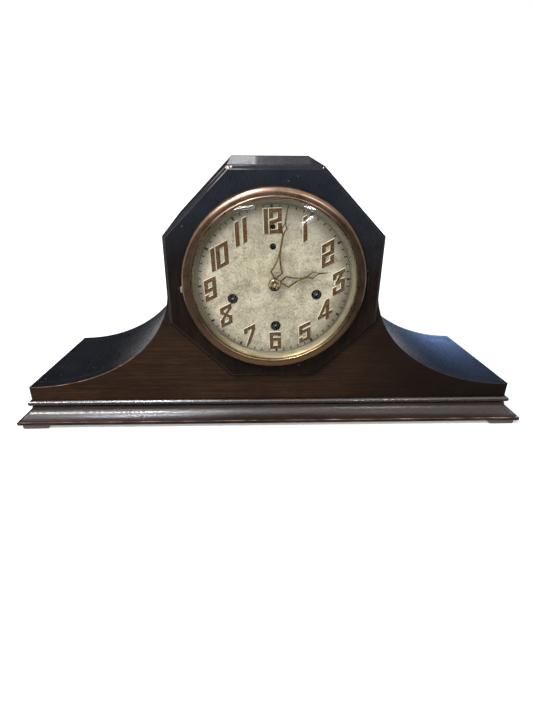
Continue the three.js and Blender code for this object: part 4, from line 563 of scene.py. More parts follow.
case = {
    "headHalf": 101.6, "frontHalf": 253.35, "backHalf": 234.2,
    "shoulderTop": 149.0, "endTop": 42.3, "bottom": 27.1,
    "bodyFront": 5.0, "frontBack": 17.0, "shellFront": 17.1, "shellBack": 121.4,
    "backFront": 121.5, "backBack": 131.5,
    "skin": 6.0, "headBoard": 8.0, "endBoard": 14.0, "gap": 0.1,
    "hole": 79.0, "openingWidth": 140, "openingHeight": 110, "shoulderSteps": 56,
    "edge": 0.5, "skinEdge": 0.2, "headEdge": 0.15,
}
panel = {"steps": 160, "chamfer": 2.6, "thickness": 4.7, "edge": 0.45}
corner = case["headHalf"] * math.tan(math.pi / 8)


def halfWidthAt(y):
    share = (y - case["bodyFront"]) / (case["backBack"] - case["bodyFront"])
    return case["frontHalf"] + (case["backHalf"] - case["frontHalf"]) * share


# The body narrows to the back beyond the head: places drawn at the front's width are drawn in.
def tapered(x, y, z):
    half = case["headHalf"]
    share = (halfWidthAt(y) - half) / (case["frontHalf"] - half)
    out = abs(x) if abs(x) < half else half + (abs(x) - half) * share
    return place(math.copysign(out, x), y, z)


def shoulder(depth=0.0):
    across = case["frontHalf"] - case["headHalf"] + depth
    down = case["shoulderTop"] - case["endTop"] + depth
    return arc(case["frontHalf"], case["shoulderTop"], -across, -down, 0, 0.25, case["shoulderSteps"])


def bodyOutline():
    right = [
        (corner, clock["dialZ"] + case["headHalf"]), (case["headHalf"], clock["dialZ"] + corner),
        *shoulder(), (case["frontHalf"], case["bottom"]),
    ]
    return right + [(-x, z) for x, z in reversed(right)]


# The top edges of the boards are black like the skin between them.
def isSweptEdge(face):
    return abs(face.normal.y) < 0.3 and face.normal.z > 0.05 and face.center.z > 0.04


# A bevel faces neither forwards, backwards nor square to the board's outline.
def isBevel(face):
    return 0.08 < abs(face.normal.y) < 0.99 and face.area < 4e-5


def makeFrontBoard():
    loops = [bodyOutline(), circle(case["hole"], 120, 0, clock["dialZ"])]
    mesh = plate("frontBoard", loops, case["bodyFront"], case["frontBack"], case["edge"], tapered)
    repaint(mesh, 1, isBevel)
    repaint(mesh, 2, isSweptEdge)
    addPiece(mesh, "case", [stainedWalnut, tanLeftEdge, shellackedTop], ["front_board"])


def makeBackBoard():
    x, z, middle = case["openingWidth"] / 2, case["openingHeight"] / 2, clock["dialZ"]
    opening = [(-x, middle - z), (x, middle - z), (x, middle + z), (-x, middle + z)]
    loops = [bodyOutline(), opening]
    mesh = plate("backBoard", loops, case["backFront"], case["backBack"], case["edge"], tapered)
    repaint(mesh, 1, isSweptEdge)
    addPiece(mesh, "case", [stainedBack, shellackedTop], ["back_board"])


def makePanel():
    rings = []
    for i in range(panel["steps"]):
        angle = math.tau * i / panel["steps"]
        reach = max(math.cos(angle - k * math.pi / 4) for k in range(8))
        outer = case["headHalf"] / reach
        inner = (case["headHalf"] - panel["chamfer"]) / reach
        profile = [
            (case["hole"], 0), (inner, 0), (outer, panel["chamfer"]), (outer, panel["thickness"]),
            (case["hole"], panel["thickness"]),
        ]
        rings.append([
            place(r * math.cos(angle), y, clock["dialZ"] + r * math.sin(angle)) for r, y in profile
        ])
    mesh = lofted("octagonPanel", rings, looped=True)
    addPiece(mesh, "case", [ebonisedVeneer, panelEdgeHighlight], ["octagon_panel"], edge=panel["edge"])


def makeShoulders():
    depths = case["shellFront"], case["shellBack"], case["skinEdge"], tapered
    for name, side in sides.items():
        outline = [(side * x, z) for x, z in shoulder() + shoulder(case["skin"])[::-1]]
        mesh = plate(f"{name}Shoulder", [outline], *depths)
        repaint(mesh, 1, lambda face: side * face.normal.x + face.normal.z < -0.1)  # under the skin
        addPiece(mesh, "case", [shellackedTop, rawBirch], [f"{name}_shoulder_skin"])
        top = case["endTop"] - case["skin"] - 2 * case["gap"]
        outer, inner = side * case["frontHalf"], side * (case["frontHalf"] - case["endBoard"])
        outline = [(inner, case["bottom"]), (outer, case["bottom"]), (outer, top), (inner, top)]
        mesh = plate(f"{name}End", [outline], *depths)
        addPiece(mesh, "case", [stainedWalnut], [f"{name}_end_board"])


def makeHead():
    half = case["headHalf"]
    inner = half - case["headBoard"]
    innerCorner = inner * math.tan(math.pi / 8)
    low = case["shoulderTop"] + case["gap"] - clock["dialZ"]
    boards = {"head_top": [(-corner, half), (corner, half), (innerCorner, inner), (-innerCorner, inner)]}
    for name, side in sides.items():
        boards[f"head_{name}_slope"] = [
            (side * x, z)
            for x, z in ((corner, half), (half, corner), (inner, innerCorner), (innerCorner, inner))
        ]
        boards[f"head_{name}_wall"] = [
            (side * x, z) for x, z in ((half, low), (half, corner), (inner, innerCorner), (inner, low))
        ]
    centre = Vector((0, 0, clock["dialZ"] / 1000))
    isInside = lambda face: face.normal.dot(face.center - centre) < 0 and abs(face.normal.y) < 0.5
    for node, outline in boards.items():
        outline = [(x, z + clock["dialZ"]) for x, z in outline]
        mesh = plate(
            node + ".veneered", [outline], case["shellFront"], case["shellBack"], case["headEdge"]
        )
        repaint(mesh, 1, isInside)
        outside = polishedHead if node == "head_top" else shellackedTop
        addPiece(mesh, "case", [outside, rawBirch], [node])


makeFrontBoard()
makeBackBoard()
makePanel()
makeShoulders()
makeHead()
print("case boards made")

plinth = {
    "bottom": 4.8, "top": 26.8, "overhang": 15.2, "endOverhang": 11.05, "inset": 12.0, "mitreGap": 0.15,
    "bead": 2.95, "beadSetback": 1.0, "cove": 10.7, "nose": 3.9, "beadSteps": 14, "coveSteps": 20,
    "quirkDepth": 2.4, "lip": 0.6, "arris": 0.4,
}
foot = {"height": 4.5, "length": 28, "width": 20, "setback": 1.5, "chamfer": 2, "edge": 0.3}


def mouldingProfile():
    bottom, inset, out, bead = plinth["bottom"], plinth["inset"], plinth["overhang"], plinth["bead"]
    beadZ, setback = plinth["top"] - bead, plinth["beadSetback"]
    noseTop = bottom + plinth["nose"]
    coveTop = noseTop + plinth["cove"]
    quirk = setback - plinth["quirkDepth"]
    lip, arris = plinth["lip"], plinth["arris"]
    return [
        (-inset, bottom), (-inset, plinth["top"]),
        *arc(setback, beadZ, bead, bead, 0.25, -0.25, plinth["beadSteps"]),
        (quirk, beadZ - bead), (quirk, coveTop),
        *arc(out, coveTop, setback - out, -plinth["cove"], 0, 0.25, plinth["coveSteps"])[:-1],
        (out - lip, noseTop), (out - 0.2 * lip, noseTop - 0.2 * lip), (out, noseTop - lip),
        (out, bottom + arris), (out - arris, bottom),
    ]


# The nose's upper edge is rubbed through to the wood and its face below has lost its polish; the
# bead has kept it best.
def makeMoulding(name, node, polish, rings):
    high = plinth["bottom"] + plinth["nose"]
    beadLow = plinth["top"] - 2 * plinth["bead"] + 0.1
    mesh = lofted(name, rings)
    repaint(mesh, 3, lambda face: face.center.z * 1000 > beadLow and face.normal.z < 0.995)
    repaint(mesh, 1, lambda face: high - plinth["lip"] < face.center.z * 1000 < high - 0.02)
    repaint(mesh, 2, lambda face: face.center.z * 1000 <= high - plinth["lip"] and abs(face.normal.z) < 0.9)
    addPiece(mesh, "case", [polish, wornEdge, dullEdge, polishedBead], [node])


def plinthPoint(side, out, y, z, gap=0.0):
    return place(side * (halfWidthAt(y) + out * plinth["endOverhang"] / plinth["overhang"] - gap), y, z)


def makePlinth():
    profile, front, gap = mouldingProfile(), case["bodyFront"], plinth["mitreGap"]
    makeMoulding("plinthFront", "plinth_front", rubbedMoulding, [
        [plinthPoint(side, out, front - out, z, gap) for out, z in profile] for side in sides.values()
    ])
    for name, side in sides.items():
        makeMoulding(f"plinth{name.title()}", f"plinth_{name}", rubbedMouldingEnd, [
            [plinthPoint(side, out, front - out + gap, z) for out, z in profile],
            [plinthPoint(side, out, case["backBack"], z) for out, z in profile],
        ])


def makeFeet():
    frontY = case["bodyFront"] - plinth["overhang"] + foot["setback"]
    backY = case["backBack"] - foot["setback"]
    ends = {  # from y to y, its reach across, and where its width is taken
        "front": (frontY, frontY + foot["width"], foot["length"], frontY + foot["width"]),
        "back": (backY - foot["length"], backY, foot["width"], backY),
    }
    for sideName, side in sides.items():
        for endName, (y0, y1, reach, widestY) in ends.items():
            outer = halfWidthAt(widestY) + plinth["endOverhang"] - foot["setback"]
            outline = [
                (outer, 0), (outer, foot["height"]), (outer - reach, foot["height"]),
                (outer - reach + foot["chamfer"], 0),
            ]
            mesh = lofted(
                f"foot.{endName}.{sideName}", [[place(side * x, y, z) for x, z in outline] for y in (y0, y1)]
            )
            addPiece(mesh, "case", [rubbedMoulding, wornEdge], [f"foot_{endName}_{sideName}"],
                     edge=foot["edge"])


makePlinth()
makeFeet()
print("plinth and feet made")

# Bezel

bezel = {
    "radius": 86.4, "crown": 79.6, "lip": 77.2, "height": 9.0, "base": 0.3, "metal": 1.4,
    "squareness": 0.62, "bandSteps": 20, "steps": 192,
    "grooveOuter": 0.15, "grooveInner": 0.4, "grooveDepth": 0.5,
    "rollGap": 0.2, "rollRise": 0.7, "rollDrop": 0.3, "rollSteps": 8,
    "pinX": 88.1, "pinY": -1.8, "knuckle": 1.4, "knuckleHalf": 2.65, "webX": 85.7, "webEdge": 0.1,
    "tabTurn": 0.08, "tabWidth": 6, "tabReach": 1.8, "tabThickness": 1.2, "tabCorner": 0.8,
    "tabEdge": 0.25,
    "glassRadius": 78.2, "glassThickness": 1.5, "seatY": -6.9, "apexY": -19.5, "glassSteps": 28,
    "glassFlange": 1.5,
    "reflectorInner": 72.8, "reflectorMetal": 0.8, "reflectorY": -2.7, "ridges": 3, "ridge": 0.1,
    "hollow": 0.35, "coneSteps": 36, "play": 0.3,
}


# The outside of the spun band, or its inside one thickness of metal further in.
def bandProfile(metal):
    points = []
    for i in range(bezel["bandSteps"] + 1):
        angle = math.pi / 2 * i / bezel["bandSteps"]
        out, up = [abs(share) ** bezel["squareness"] for share in (math.cos(angle), math.sin(angle))]
        points.append((
            bezel["crown"] + (bezel["radius"] - bezel["crown"] - metal) * out,
            -bezel["base"] - (bezel["height"] - bezel["base"] - metal) * up,
        ))
    return points


def makeBezelRing():
    crown, lip, top = bezel["crown"], bezel["lip"], -bezel["height"]
    roll = (crown - lip) / 2 - bezel["rollGap"]
    grooveY = top + bezel["grooveDepth"]
    ring = turned("ring", [
        *bandProfile(0), (crown - bezel["grooveOuter"], grooveY), (crown - bezel["grooveInner"], grooveY),
        *arc(lip + roll, top + bezel["rollDrop"], roll, -bezel["rollRise"], 0, 0.5, bezel["rollSteps"])[1:],
        (lip, top + bezel["metal"]), *reversed(bandProfile(bezel["metal"])),
    ], bezel["steps"])

    def onEdge(out, y, up):
        x, z = swung(out - bezel["radius"], -up, bezel["tabTurn"])
        return place(x, y, z + clock["dialZ"])

    width, reach, cut = bezel["tabWidth"] / 2, bezel["tabReach"], bezel["tabCorner"]
    upper = [(-reach, width - cut), (-reach + cut, width), (cut, width)]
    outline = [(out, -up) for out, up in reversed(upper)] + upper
    base = -bezel["base"]
    tab = plate("tab", [outline], base - bezel["tabThickness"], base, bezel["tabEdge"], onEdge)
    repaint(tab, 1)
    half, pinX, pinY, middle = bezel["knuckleHalf"], bezel["pinX"], bezel["pinY"], clock["dialZ"]
    knuckle = lofted("knuckle", [
        [place(pinX + x, pinY + y, middle + z) for x, y in circle(bezel["knuckle"], 24)]
        for z in (-half, half)
    ])
    outline = [(bezel["webX"], middle - half), (pinX, middle - half), (pinX, middle + half),
               (bezel["webX"], middle + half)]
    web = plate("web", [outline], pinY - bezel["knuckle"], pinY, bezel["webEdge"])
    for hinged in (knuckle, web):
        repaint(hinged, 2)
    mesh = joined("bezelRing", [ring, tab, knuckle, web])
    addPiece(mesh, "bezel", [spunBezel, paleHighlightTab, blackSteel], ["bezel_ring"])


def makeGlass():
    steps, seat, thick = bezel["glassSteps"], bezel["seatY"], bezel["glassThickness"]
    dome, edge = bezel["glassRadius"] - bezel["glassFlange"], bezel["glassRadius"]
    rise = seat - bezel["play"] - bezel["apexY"]
    outer, inner = [
        [(radius * i / steps, rimY - rise * (1 - (i / steps) ** 2)) for i in range(steps + 1)]
        for radius, rimY in ((dome, seat - bezel["play"]), (dome - thick, seat + thick))
    ]
    mesh = turned("domedGlass", [*outer, (dome, seat), (edge, seat), (edge, seat + thick), *inner[::-1]], 160)
    addPiece(mesh, "bezel", [glass], ["bezel_glass"], sharp=50)


def makeReflector():
    flangeY = bezel["seatY"] + bezel["glassThickness"] + bezel["play"]
    metal = bezel["reflectorMetal"]
    throat = bezel["glassRadius"] - metal
    cone = []
    for i in range(bezel["coneSteps"] + 1):
        share = i / bezel["coneSteps"]
        hollow = bezel["hollow"] * math.sin(math.pi * share)
        ridge = bezel["ridge"] * (1 - math.cos(math.tau * bezel["ridges"] * share)) / 2
        r = throat + (bezel["reflectorInner"] - throat) * share + hollow - ridge
        cone.append((r, flangeY + (bezel["reflectorY"] - flangeY) * share))
    back = [(r + metal, y + 0.1) for r, y in reversed(cone)]
    flange = bezel["glassRadius"] + bezel["metal"]
    mesh = turned("innerCone", [
        (flange, flangeY), *cone, *back[:-1], (throat + metal, flangeY + metal), (flange, flangeY + metal),
    ], bezel["steps"])
    addPiece(mesh, "bezel", [reflectorBrass], ["bezel_reflector"], sharp=25)


makeBezelRing()
makeGlass()
makeReflector()
print("bezel made")

# Dial

dial = {
    "radius": 75.5, "frontY": -2.0, "backY": -0.8, "relief": 0.4, "edge": 0.15, "play": 0.35,
    "numeralEdge": 0.5, "numeralGrow": 0.6, "numeralRise": 0.45, "numeralRoot": 0.6,
    "winding": [(-39.7, -13.8), (0, -43.5), (39.7, -13.8)], "small": [(0, 51.2), (0, 33.9)],
    "windingEyelet": (4.9, 3.1, 0.75), "smallEyelet": (2.85, 1.7, 0.55),  # outer and inner radius, rise
    "centreHole": 3.6, "eyeletTail": 2.2, "eyeletMetal": 0.3, "sunk": 0.1,
    "trackRadius": 69.4, "tick": (2.4, 1.05), "boldTick": (3.2, 2.0),  # length, width
    "lineRadius": 71.3, "lineWidth": 0.4, "paint": 0.06, "paintEdge": 0.01,
    "footPlaces": [0.182, 0.648, 0.978], "footRing": 60, "footRadius": 2, "footEnd": 17.0,
    "footEdge": 0.1,
}
eyelets = [(*at, *dial["windingEyelet"]) for at in dial["winding"]]
eyelets += [(*at, *dial["smallEyelet"]) for at in dial["small"]]


# Closed outlines of a node's flat front faces at a depth, as (x, z) in millimetres.
def faceLoops(node, y):
    depth = place(0, y, 0).y
    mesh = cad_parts[node].data
    key = lambda i: (round(mesh.vertices[i].co.x * 1e3, 3), round(mesh.vertices[i].co.z * 1e3, 3))
    edges = set()
    for face in mesh.polygons:
        if all(abs(mesh.vertices[i].co.y - depth) < 2e-5 for i in face.vertices):
            ring = [key(i) for i in face.vertices]
            edges |= set(zip(ring, ring[1:] + ring[:1]))
    nexts = {a: b for a, b in sorted(edges) if (b, a) not in edges}
    loops = []
    while nexts:
        start = min(nexts)
        loop, at = [start], nexts.pop(start)
        while at != start:
            loop.append(at)
            at = nexts.pop(at)
        loops.append(loop)
    return loops


def makeDial():
    front, back = dial["frontY"], dial["backY"]
    loops = [circle(dial["radius"], 192)]
    for i, (u, v, _, hole, _) in enumerate(eyelets):
        loops.append(circle(hole + dial["play"], 40 if i < len(dial["winding"]) else 28, u, v))
    loops.append(circle(dial["centreHole"], 40))
    parts = [plate("disc", loops, front, back, dial["edge"], onDial)]
    for share in dial["footPlaces"]:
        u, v = swung(dial["footRing"], 0, share * math.tau)
        loops = [circle(dial["footRadius"], 24, u, v)]
        parts.append(plate("foot", loops, back - dial["sunk"], dial["footEnd"], dial["footEdge"], onDial))
    addPiece(joined("dialPlate", parts), "case", [silveredDial], ["dial_plate"])


# The numerals' upper left edges take a painted highlight and their lower right edges painted shade.
def makeNumerals():
    front = dial["frontY"]
    top = front - dial["relief"]
    mesh = plate(
        "numerals", faceLoops("dial_plate", top), top - dial["numeralRise"], front + dial["numeralRoot"],
        dial["numeralEdge"], edgeSteps=3, grow=dial["numeralGrow"],
    )
    repaint(mesh, 1, lambda face: face.normal.y > -0.9)
    repaint(mesh, 2, lambda face: face.normal.y > -0.9 and face.normal.z - 0.5 * face.normal.x < 0.1)
    addPiece(mesh, "case", [numeralBrown, numeralHighlight, numeralShade])


def makeTrack():
    loops = []
    for minute in range(60):
        length, width = dial["tick" if minute % 5 else "boldTick"]
        loops.append([
            swung(a * width / 2, dial["trackRadius"] + b * length / 2, -math.tau * minute / 60)
            for a, b in ((-1, -1), (1, -1), (1, 1), (-1, 1))
        ])
    line = [circle(dial["lineRadius"] + side * dial["lineWidth"] / 2, 240) for side in (1, -1)]
    depths = dial["frontY"] - dial["paint"], dial["frontY"] + dial["sunk"], dial["paintEdge"]
    drawings = {"ticks": loops, "line": line}
    meshes = [plate(name, drawn, *depths, onDial, 0) for name, drawn in drawings.items()]
    addPiece(joined("minuteTrack", meshes), "case", [trackBlack])


def makeEyelets():
    tail = dial["backY"] + dial["eyeletTail"]
    for i, (u, v, outer, hole, rise) in enumerate(eyelets):
        at = onDial(u, 0, v) * 1000
        outside = hole + dial["eyeletMetal"]
        profile = arc((outer + hole) / 2, dial["frontY"], (outer - hole) / 2, -rise, 0, 0.5, 12)
        profile += [(hole - 0.05, tail), (outside, tail), (outside, dial["frontY"] + 0.05)]
        mesh = turned(f"eyelet.{i + 1}", profile, 48, (at.x, at.z))
        addPiece(mesh, "case", [eyeletBlack])


makeDial()
makeNumerals()
makeTrack()
makeEyelets()
print("dial made")

# Hands

hands = {
    "wire": 1.8, "thickness": 0.8, "edge": 0.15,
    "tipShare": 0.45,  # the wires thin to this share of their width
    "hug": 0.22,  # and lie side by side along the stem, this share of it off its middle
    # The corners of the two openings, low, right, high and left, as shares of the length.
    "minute": {
        "length": 68.2, "boss": 4.4, "bore": 2.05, "frontY": -6.8, "angle": 0.2,
        "kite": [(0, 0.075), (0.082, 0.165), (0.002, 0.41), (-0.075, 0.16)], "waist": 0.28,
        "diamond": [(0, 0.678), (0.038, 0.755), (0.003, 0.812), (-0.033, 0.747)],
    },
    "hour": {
        "length": 50.4, "boss": 5.0, "bore": 2.9, "frontY": -5.0, "angle": 1.416,
        "kite": [(0, 0.11), (0.124, 0.25), (0.012, 0.53), (-0.086, 0.24)], "waist": 0.3,
        "diamond": [(0, 0.618), (0.056, 0.717), (-0.022, 0.832), (-0.074, 0.728)],
    },
    # A flat wire with its edges rounded over, across and through.
    "section": [
        (-1, 0), (-0.85, -0.75), (-0.4, -1), (0.4, -1), (0.85, -0.75), (1, 0), (0.7, 1), (-0.7, 1),
    ],
}


def between(a, b, across=0.5, up=0.5):
    return a[0] + (b[0] - a[0]) * across, a[1] + (b[1] - a[1]) * up


# A curve from one corner to the next, drawn in towards a point between them, without its end.
def bowed(start, end, pull, steps):
    return [
        tuple((1 - t) ** 2 * start[k] + 2 * t * (1 - t) * pull[k] + t * t * end[k] for k in (0, 1))
        for t in (i / steps for i in range(steps))
    ]


# A wire along a path, thinning to its end.
def strand(name, path, yFront, toPlace):
    half = hands["thickness"] / 2
    rings = []
    for i, (x, z) in enumerate(path):
        x0, z0 = path[max(i - 1, 0)]
        x1, z1 = path[min(i + 1, len(path) - 1)]
        width = hands["wire"] * (1 + (hands["tipShare"] - 1) * i / (len(path) - 1)) / 2
        scale = width / math.hypot(x1 - x0, z1 - z0)
        rings.append([
            toPlace(x + (z1 - z0) * scale * a, yFront + half + half * b, z + (x0 - x1) * scale * a)
            for a, b in hands["section"]
        ])
    return lofted(name, rings)


def makeHand(name):
    shape = hands[name]
    length, y = shape["length"], shape["frontY"]

    def onHand(x, y, z):
        u, v = swung(x, z, -shape["angle"])
        return onDial(u, y, v)

    kite, diamond = [[(x * length, z * length) for x, z in shape[part]] for part in ("kite", "diamond")]
    root, right, top, left = kite
    low, farRight, high, farLeft = diamond
    loops = [circle(shape["boss"], 48), circle(shape["bore"], 32)]
    parts = [plate("boss", loops, y, y + hands["thickness"], hands["edge"], onHand)]
    for side, near, far in ((-1, left, farLeft), (1, right, farRight)):
        hug = side * hands["wire"] * hands["hug"]
        beside = lambda point: (point[0] + hug, point[1])
        at, tip = (hug * 2, shape["boss"] * 0.8), (hug * 0.2, length)
        path = []
        for end, pull, steps in (
            (beside(root), between(at, root), 2),
            (near, between(root, near, 0.42), 10),
            (beside(top), between(near, top, 1 - shape["waist"], 0.45), 14),
            (beside(low), between(top, low), 5),
            (far, between(low, far, 0.4), 7),
            (beside(high), between(far, high, 0.6), 7),
            (tip, between(high, (hug, length)), 6),
        ):
            path += bowed(at, end, pull, steps)
            at = end
        parts.append(strand("wire", [*path, tip], y, onHand))
    mesh = joined(f"{name}Hand", parts)
    # all but the wires' front faces take painted shade
    repaint(mesh, 1, lambda face: face.normal.y > -0.75)
    addPiece(mesh, name, [stampedHand, paintedShadeBrass], [f"{name}_hand"])


nut = {
    # (radius, y): a turned collar round the domed end of the arbor
    "profile": [
        (0.0, -11.3), (0.9, -11.2), (1.6, -10.8), (1.8, -9.8), (2.2, -9.3), (3.2, -9.5), (3.9, -10.2),
        (4.6, -10.6), (5.2, -10.4), (5.7, -9.8), (5.9, -9.0), (5.9, -7.7), (5.6, -7.1), (0.0, -7.1),
    ],
    "rim": 5.1, "groove": (1.7, 2.6),  # painted shade on the rim's lower half and in the groove round the dome
}


def makeNut():
    axis = place(0, 0, clock["dialZ"])

    def takesPaintedShade(face):
        away = math.hypot(face.center.x - axis.x, face.center.z - axis.z) * 1000
        return away > nut["rim"] and face.center.z < axis.z or nut["groove"][0] < away < nut["groove"][1]

    mesh = turned("handNut", nut["profile"], 64)
    repaint(mesh, 1, takesPaintedShade)
    addPiece(mesh, "minute", [turnedNut, paintedShadeBrass], ["hand_nut"])


makeHand("minute")
makeHand("hour")
makeNut()
print("hands made")

# Back door, its knob and the screws

door = {
    "width": 152, "height": 122, "frontY": 131.8, "backY": 139.8, "cornerRadius": 2.5, "edge": 0.8,
    "slotWidth": 5, "slotHeight": 44, "slotPitch": 14, "slotsPerSide": 3,
}
knob = {
    "x": 64, "radius": 6, "length": 9, "neck": 3, "neckLength": 3, "tip": 1.2,
    "neckSteps": [(1.4, 0), (1.4, 0.8), (0, 1.4), (-0.4, 3)],  # beyond the neck's radius, behind the door
}
screws = {
    "slot": 0.7, "discEdge": 0.05, "halfEdge": 0.2,
    "discTop": 0.45, "halfFoot": 0.3,  # shares of the rise
    "kinds": {  # radius, rise, y, material, places
        "backScrew": (2.9, 1.0, case["backBack"] - 0.1, blackSteel, [
            (-91, clock["dialZ"] + 30), (91, clock["dialZ"] + 30),
            (-198, 40), (198, 40), (-70, 40), (70, 40),
        ]),
        "hingeScrew": (1.7, 0.6, 132.6, cutWheel, [(-86.4, clock["dialZ"] + z) for z in (-20, 0, 20)]),
    },
}


def roundedBox(x, width, height, radius):
    points = []
    for quarter, (right, up) in enumerate(((1, 1), (-1, 1), (-1, -1), (1, -1))):
        points += arc(
            x + right * (width / 2 - radius), clock["dialZ"] + up * (height / 2 - radius), radius, radius,
            quarter / 4, (quarter + 1) / 4, 6,
        )
    return points


def makeDoor():
    loops = [roundedBox(0, door["width"], door["height"], door["cornerRadius"])]
    for i in range(-door["slotsPerSide"], door["slotsPerSide"] + 1):
        end = door["slotWidth"] / 2 - 0.01
        loops.append(roundedBox(i * door["slotPitch"], door["slotWidth"], door["slotHeight"], end))
    mesh = plate("slottedDoor", loops, door["frontY"], door["backY"], door["edge"], edgeSteps=3)
    addPiece(mesh, "back_door", [stainedBack], ["back_door"])


def makeKnob():
    start = door["backY"] + 0.1
    end = start + 0.2 + knob["length"]
    half = (end - start - knob["neckLength"]) / 2
    ball = arc(0, end - half, knob["radius"], half, -0.25, 0.24, 16)
    profile = [(0, start), *[(knob["neck"] + out, start + y) for out, y in knob["neckSteps"]]]
    profile += [(max(r, knob["tip"]), y) for r, y in ball] + [(0, end)]
    mesh = turned("doorKnob", profile, 40, (knob["x"], clock["dialZ"]))
    addPiece(mesh, "back_door", [cutWheel], ["door_knob"], sharp=40)


# Slotted round-head screws: a low disc with two raised halves, each turned its own way.
def makeScrews():
    numbers = random.Random(7)
    for kind, (radius, rise, y, material, places) in screws["kinds"].items():
        start = math.asin(screws["slot"] / 2 / radius) / math.tau
        for i, (x, z) in enumerate(places):
            name, turn = f"{kind}.{i + 1}", numbers.uniform(0, math.pi)
            halves = []
            for side in (-1, 1):
                half = [swung(*p, turn) for p in arc(0, 0, radius, side * radius, start, 0.5 - start, 16)]
                halves.append([(x + p, z + q) for p, q in half])
            disc = plate(
                name, [circle(radius, 32, x, z)], y, y + rise * screws["discTop"], screws["discEdge"]
            )
            top = plate(name, halves, y + rise * screws["halfFoot"], y + rise, screws["halfEdge"])
            addPiece(joined(name, [disc, top]), "case", [material])


makeDoor()
makeKnob()
makeScrews()
print("back made")


# Carried-over nodes keep their shape and take a finish.
def finishNode(node, material):
    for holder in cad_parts[node].material_slots:
        holder.material = material


finishes = [
    (rolledPlate, ["front_plate", "back_plate", "chime_frame", "pendulum_cock"]),
    (cutWheel, [
        "hour_wheel", "minute_wheel", "middle_wheel", "third_wheel", "escape_wheel", "strike_wheel",
        "strike_barrel", "time_barrel", "chime_barrel", "chime_drum", "pendulum_bob",
        "door_hinge_plate", "door_hinge_leaf", "hammer_1", "hammer_2", "hammer_3", "hammer_4",
        "centre_arbor",
    ]),
    (blackSteel, ["bezel_hinge_plate"]), (turnedSteel, ["pallet_anchor", "pendulum_rod"]),
    (castIron, ["gong_block_with_rods"]), (rawBirch, ["bottom_board"]),
]
for material, nodes in finishes:
    for node in nodes:
        finishNode(node, material)

# The arbors seen through the dial take painted shade in their holes, all but their middles.
arbors = [
    "strike_winding_arbor", "time_winding_arbor", "chime_winding_arbor", "selector_arbor",
    "regulator_arbor",
]
for node, (u, v) in zip(arbors, dial["winding"] + dial["small"]):
    shadeInHole = (onDial(u, 0, v), 0.1, 1.3 if (u, v) in dial["winding"] else 0.9)
    finishNode(node, agedMetal(node + "Steel", metals["turnedSteel"] | {"shadeInHole": shadeInHole}))
print("frame nodes finished")

# Floor, world, lamps and camera

studio = {
    "target": (0, 0, 0.13), "floorHalf": 6.0, "fill": 0.33,
    "lamps": [
        # name, place, width, height, turn about its own axis, watts, shade
        ("key", (-0.545, -1.157, 1.68), 0.2, 0.2, 0.0, 25, "#ffffff"),
        ("side", (-1.1, -1.15, 1.65), 0.6, 0.2, 0.0, 23, "#ffffff"),
        ("ceiling", (-0.5, -0.15, 1.6), 0.7, 0.2, 0.0, 15, "#eef2ff"),
        ("window", (0.68, 1.3, 0.42), 0.3, 0.2, 0.0, 6.6, "#92b8fc"),
        ("streak.low", (0.41, -1.12, 0.543), 0.15, 0.016, 0.46, 1.4, "#ffffff"),
        ("streak.high", (0.488, -1.12, 0.665), 0.19, 0.01, -0.42, 0.7, "#ffffff"),
        ("streak.left", (-0.34, -1.12, 0.668), 0.34, 0.014, 0.3, 1.2, "#ffffff"),
    ],
    "cameraPlace": (-0.0217511, -0.494059, 0.2937229),
    "pitch": 0.4614, "yaw": -0.0355, "roll": 0.0091, "focalPixels": 474.4004, "imageHeight": 711,
    "sensorHeight": 36,
}


# 1 for the camera's rays and for those that metal and glass send on.
def seenRays(add):
    seen = 0.0
    for ray in ("Is Camera Ray", "Is Glossy Ray", "Is Transmission Ray"):
        seen = add("Math", [seen, add("LightPath", out=ray)], operation="MAXIMUM")
    return seen


def stageSheet(name, points, faces, material):
    mesh = bpy.data.meshes.new(name)
    mesh.from_pydata(points, [], faces)
    mesh.materials.append(material)
    sheet = addObject(name, mesh)
    return sheet


# White where the camera, metal and glass look at it; nearer the clock it keeps more of the shadow.
def makeFloor():
    material, add = newMaterial("paleFloor")
    away = add("VectorMath", [add("TexCoord", out="Object")], out="Value", operation="LENGTH")
    lift = add("MapRange", [away, 0.3, 1.1, 0.28, 1.0], interpolation_type="SMOOTHSTEP")
    add("OutputMaterial", [add("BsdfPrincipled", {
        "Base Color": (0.8, 0.8, 0.8, 1), "Roughness": 0.9, "Specular IOR Level": 0.1,
        "Emission Color": (1, 1, 1, 1),
        "Emission Strength": add("Math", [seenRays(add), lift], operation="MULTIPLY"),
    })])
    half = studio["floorHalf"]
    corners = [(-half, -half, 0), (half, -half, 0), (half, half, 0), (-half, half, 0)]
    stageSheet("floor", corners, [(0, 1, 2, 3)], material)


def makeWorld():
    world = bpy.data.worlds.new("studio")
    bpy.context.scene.world = world
    world.use_nodes = True
    world.node_tree.nodes.clear()
    add = partial(addNode, world.node_tree)
    white, fill = [add("Background", [(1, 1, 1, 1), level]) for level in (1.0, studio["fill"])]
    add("OutputWorld", [add("MixShader", [seenRays(add), fill, white])])


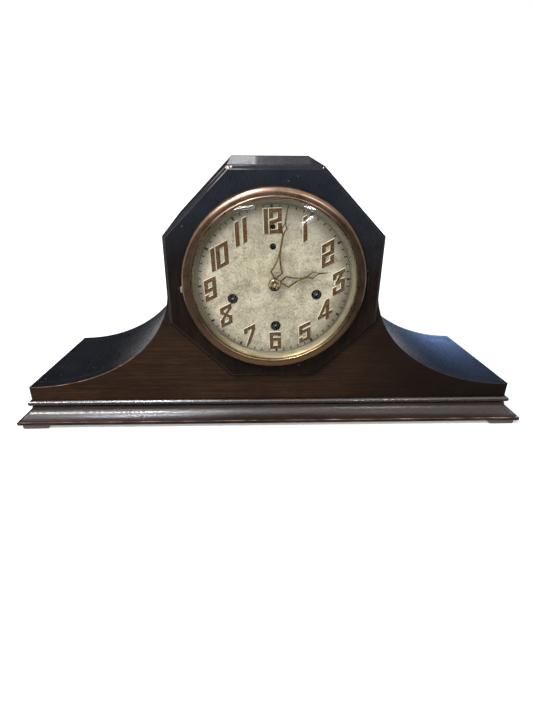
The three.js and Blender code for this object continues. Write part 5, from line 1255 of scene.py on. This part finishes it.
# Cloths out of the picture, only for what the polish mirrors: behind the clock, with a gap through
# which the head's top mirrors the pale wall, and in front of it under the camera.
def makeCloths():
    hung, laid = [(0.35, 0.003), (1.5, 0.003), (1.5, 2.6)], [(-0.078, 0.003), (-2.2, 0.003), (-2.2, 0.8)]
    cloths = {
        "backCloth.left": (-3.0, -0.12, hung, 0.02), "backCloth.pale": (0.0, 0.11, hung, 0.13),
        "backCloth.grey": (0.11, 0.22, hung, 0.1), "backCloth.right": (0.22, 3.0, hung, 0.03),
        "frontCloth": (-3.0, 3.0, laid, 0.14),
    }
    for name, (left, right, fold, level) in cloths.items():
        material, add = newMaterial(f"duvetyne.{name}")
        cloth = add("BsdfPrincipled", {"Base Color": (level, level, level, 1), "Roughness": 1.0})
        add("OutputMaterial", [cloth])
        points = [(x, y, z) for y, z in fold for x in (left, right)]
        sheet = stageSheet(name, points, [(0, 1, 3, 2), (2, 3, 5, 4)], material)
        for rays in ("camera", "diffuse", "transmission", "shadow"):
            setattr(sheet, f"visible_{rays}", False)


def makeLamps():
    for name, at, width, height, turn, watts, shade in studio["lamps"]:
        lamp = bpy.data.lights.new(name, "AREA")
        lamp.shape = "RECTANGLE"
        lamp.size, lamp.size_y = width, height
        lamp.energy = watts
        lamp.color = linear(shade)[:3]
        holder = addObject(name, lamp)
        holder.location = at
        aim = Vector(studio["target"]) - Vector(at)
        holder.rotation_euler = (aim.to_track_quat("-Z", "Y") @ Quaternion((0, 0, 1), turn)).to_euler()
        holder.visible_camera = False


def makeCamera():
    pitch, roll = studio["pitch"], studio["roll"]
    turn = Matrix.Rotation(studio["yaw"], 3, "Z")
    ahead = turn @ Vector((0, math.cos(pitch), -math.sin(pitch)))
    up = turn @ Vector((0, math.sin(pitch), math.cos(pitch)))
    right = turn @ Vector((1, 0, 0))
    across = math.cos(roll) * right + math.sin(roll) * up
    above = math.cos(roll) * up - math.sin(roll) * right
    lens = bpy.data.cameras.new("photoView")
    lens.sensor_fit = "VERTICAL"
    lens.sensor_height = studio["sensorHeight"]
    lens.lens = studio["sensorHeight"] * studio["focalPixels"] / studio["imageHeight"]
    lens.clip_start = 0.01
    camera = addObject("photoView", lens)
    basis = Matrix((across, above, -ahead)).transposed().to_4x4()
    camera.matrix_world = Matrix.Translation(studio["cameraPlace"]) @ basis
    bpy.context.scene.camera = camera


makeFloor()
makeWorld()
makeCloths()
makeLamps()
makeCamera()
bpy.context.scene.view_settings.view_transform = "Standard"
print("studio made")
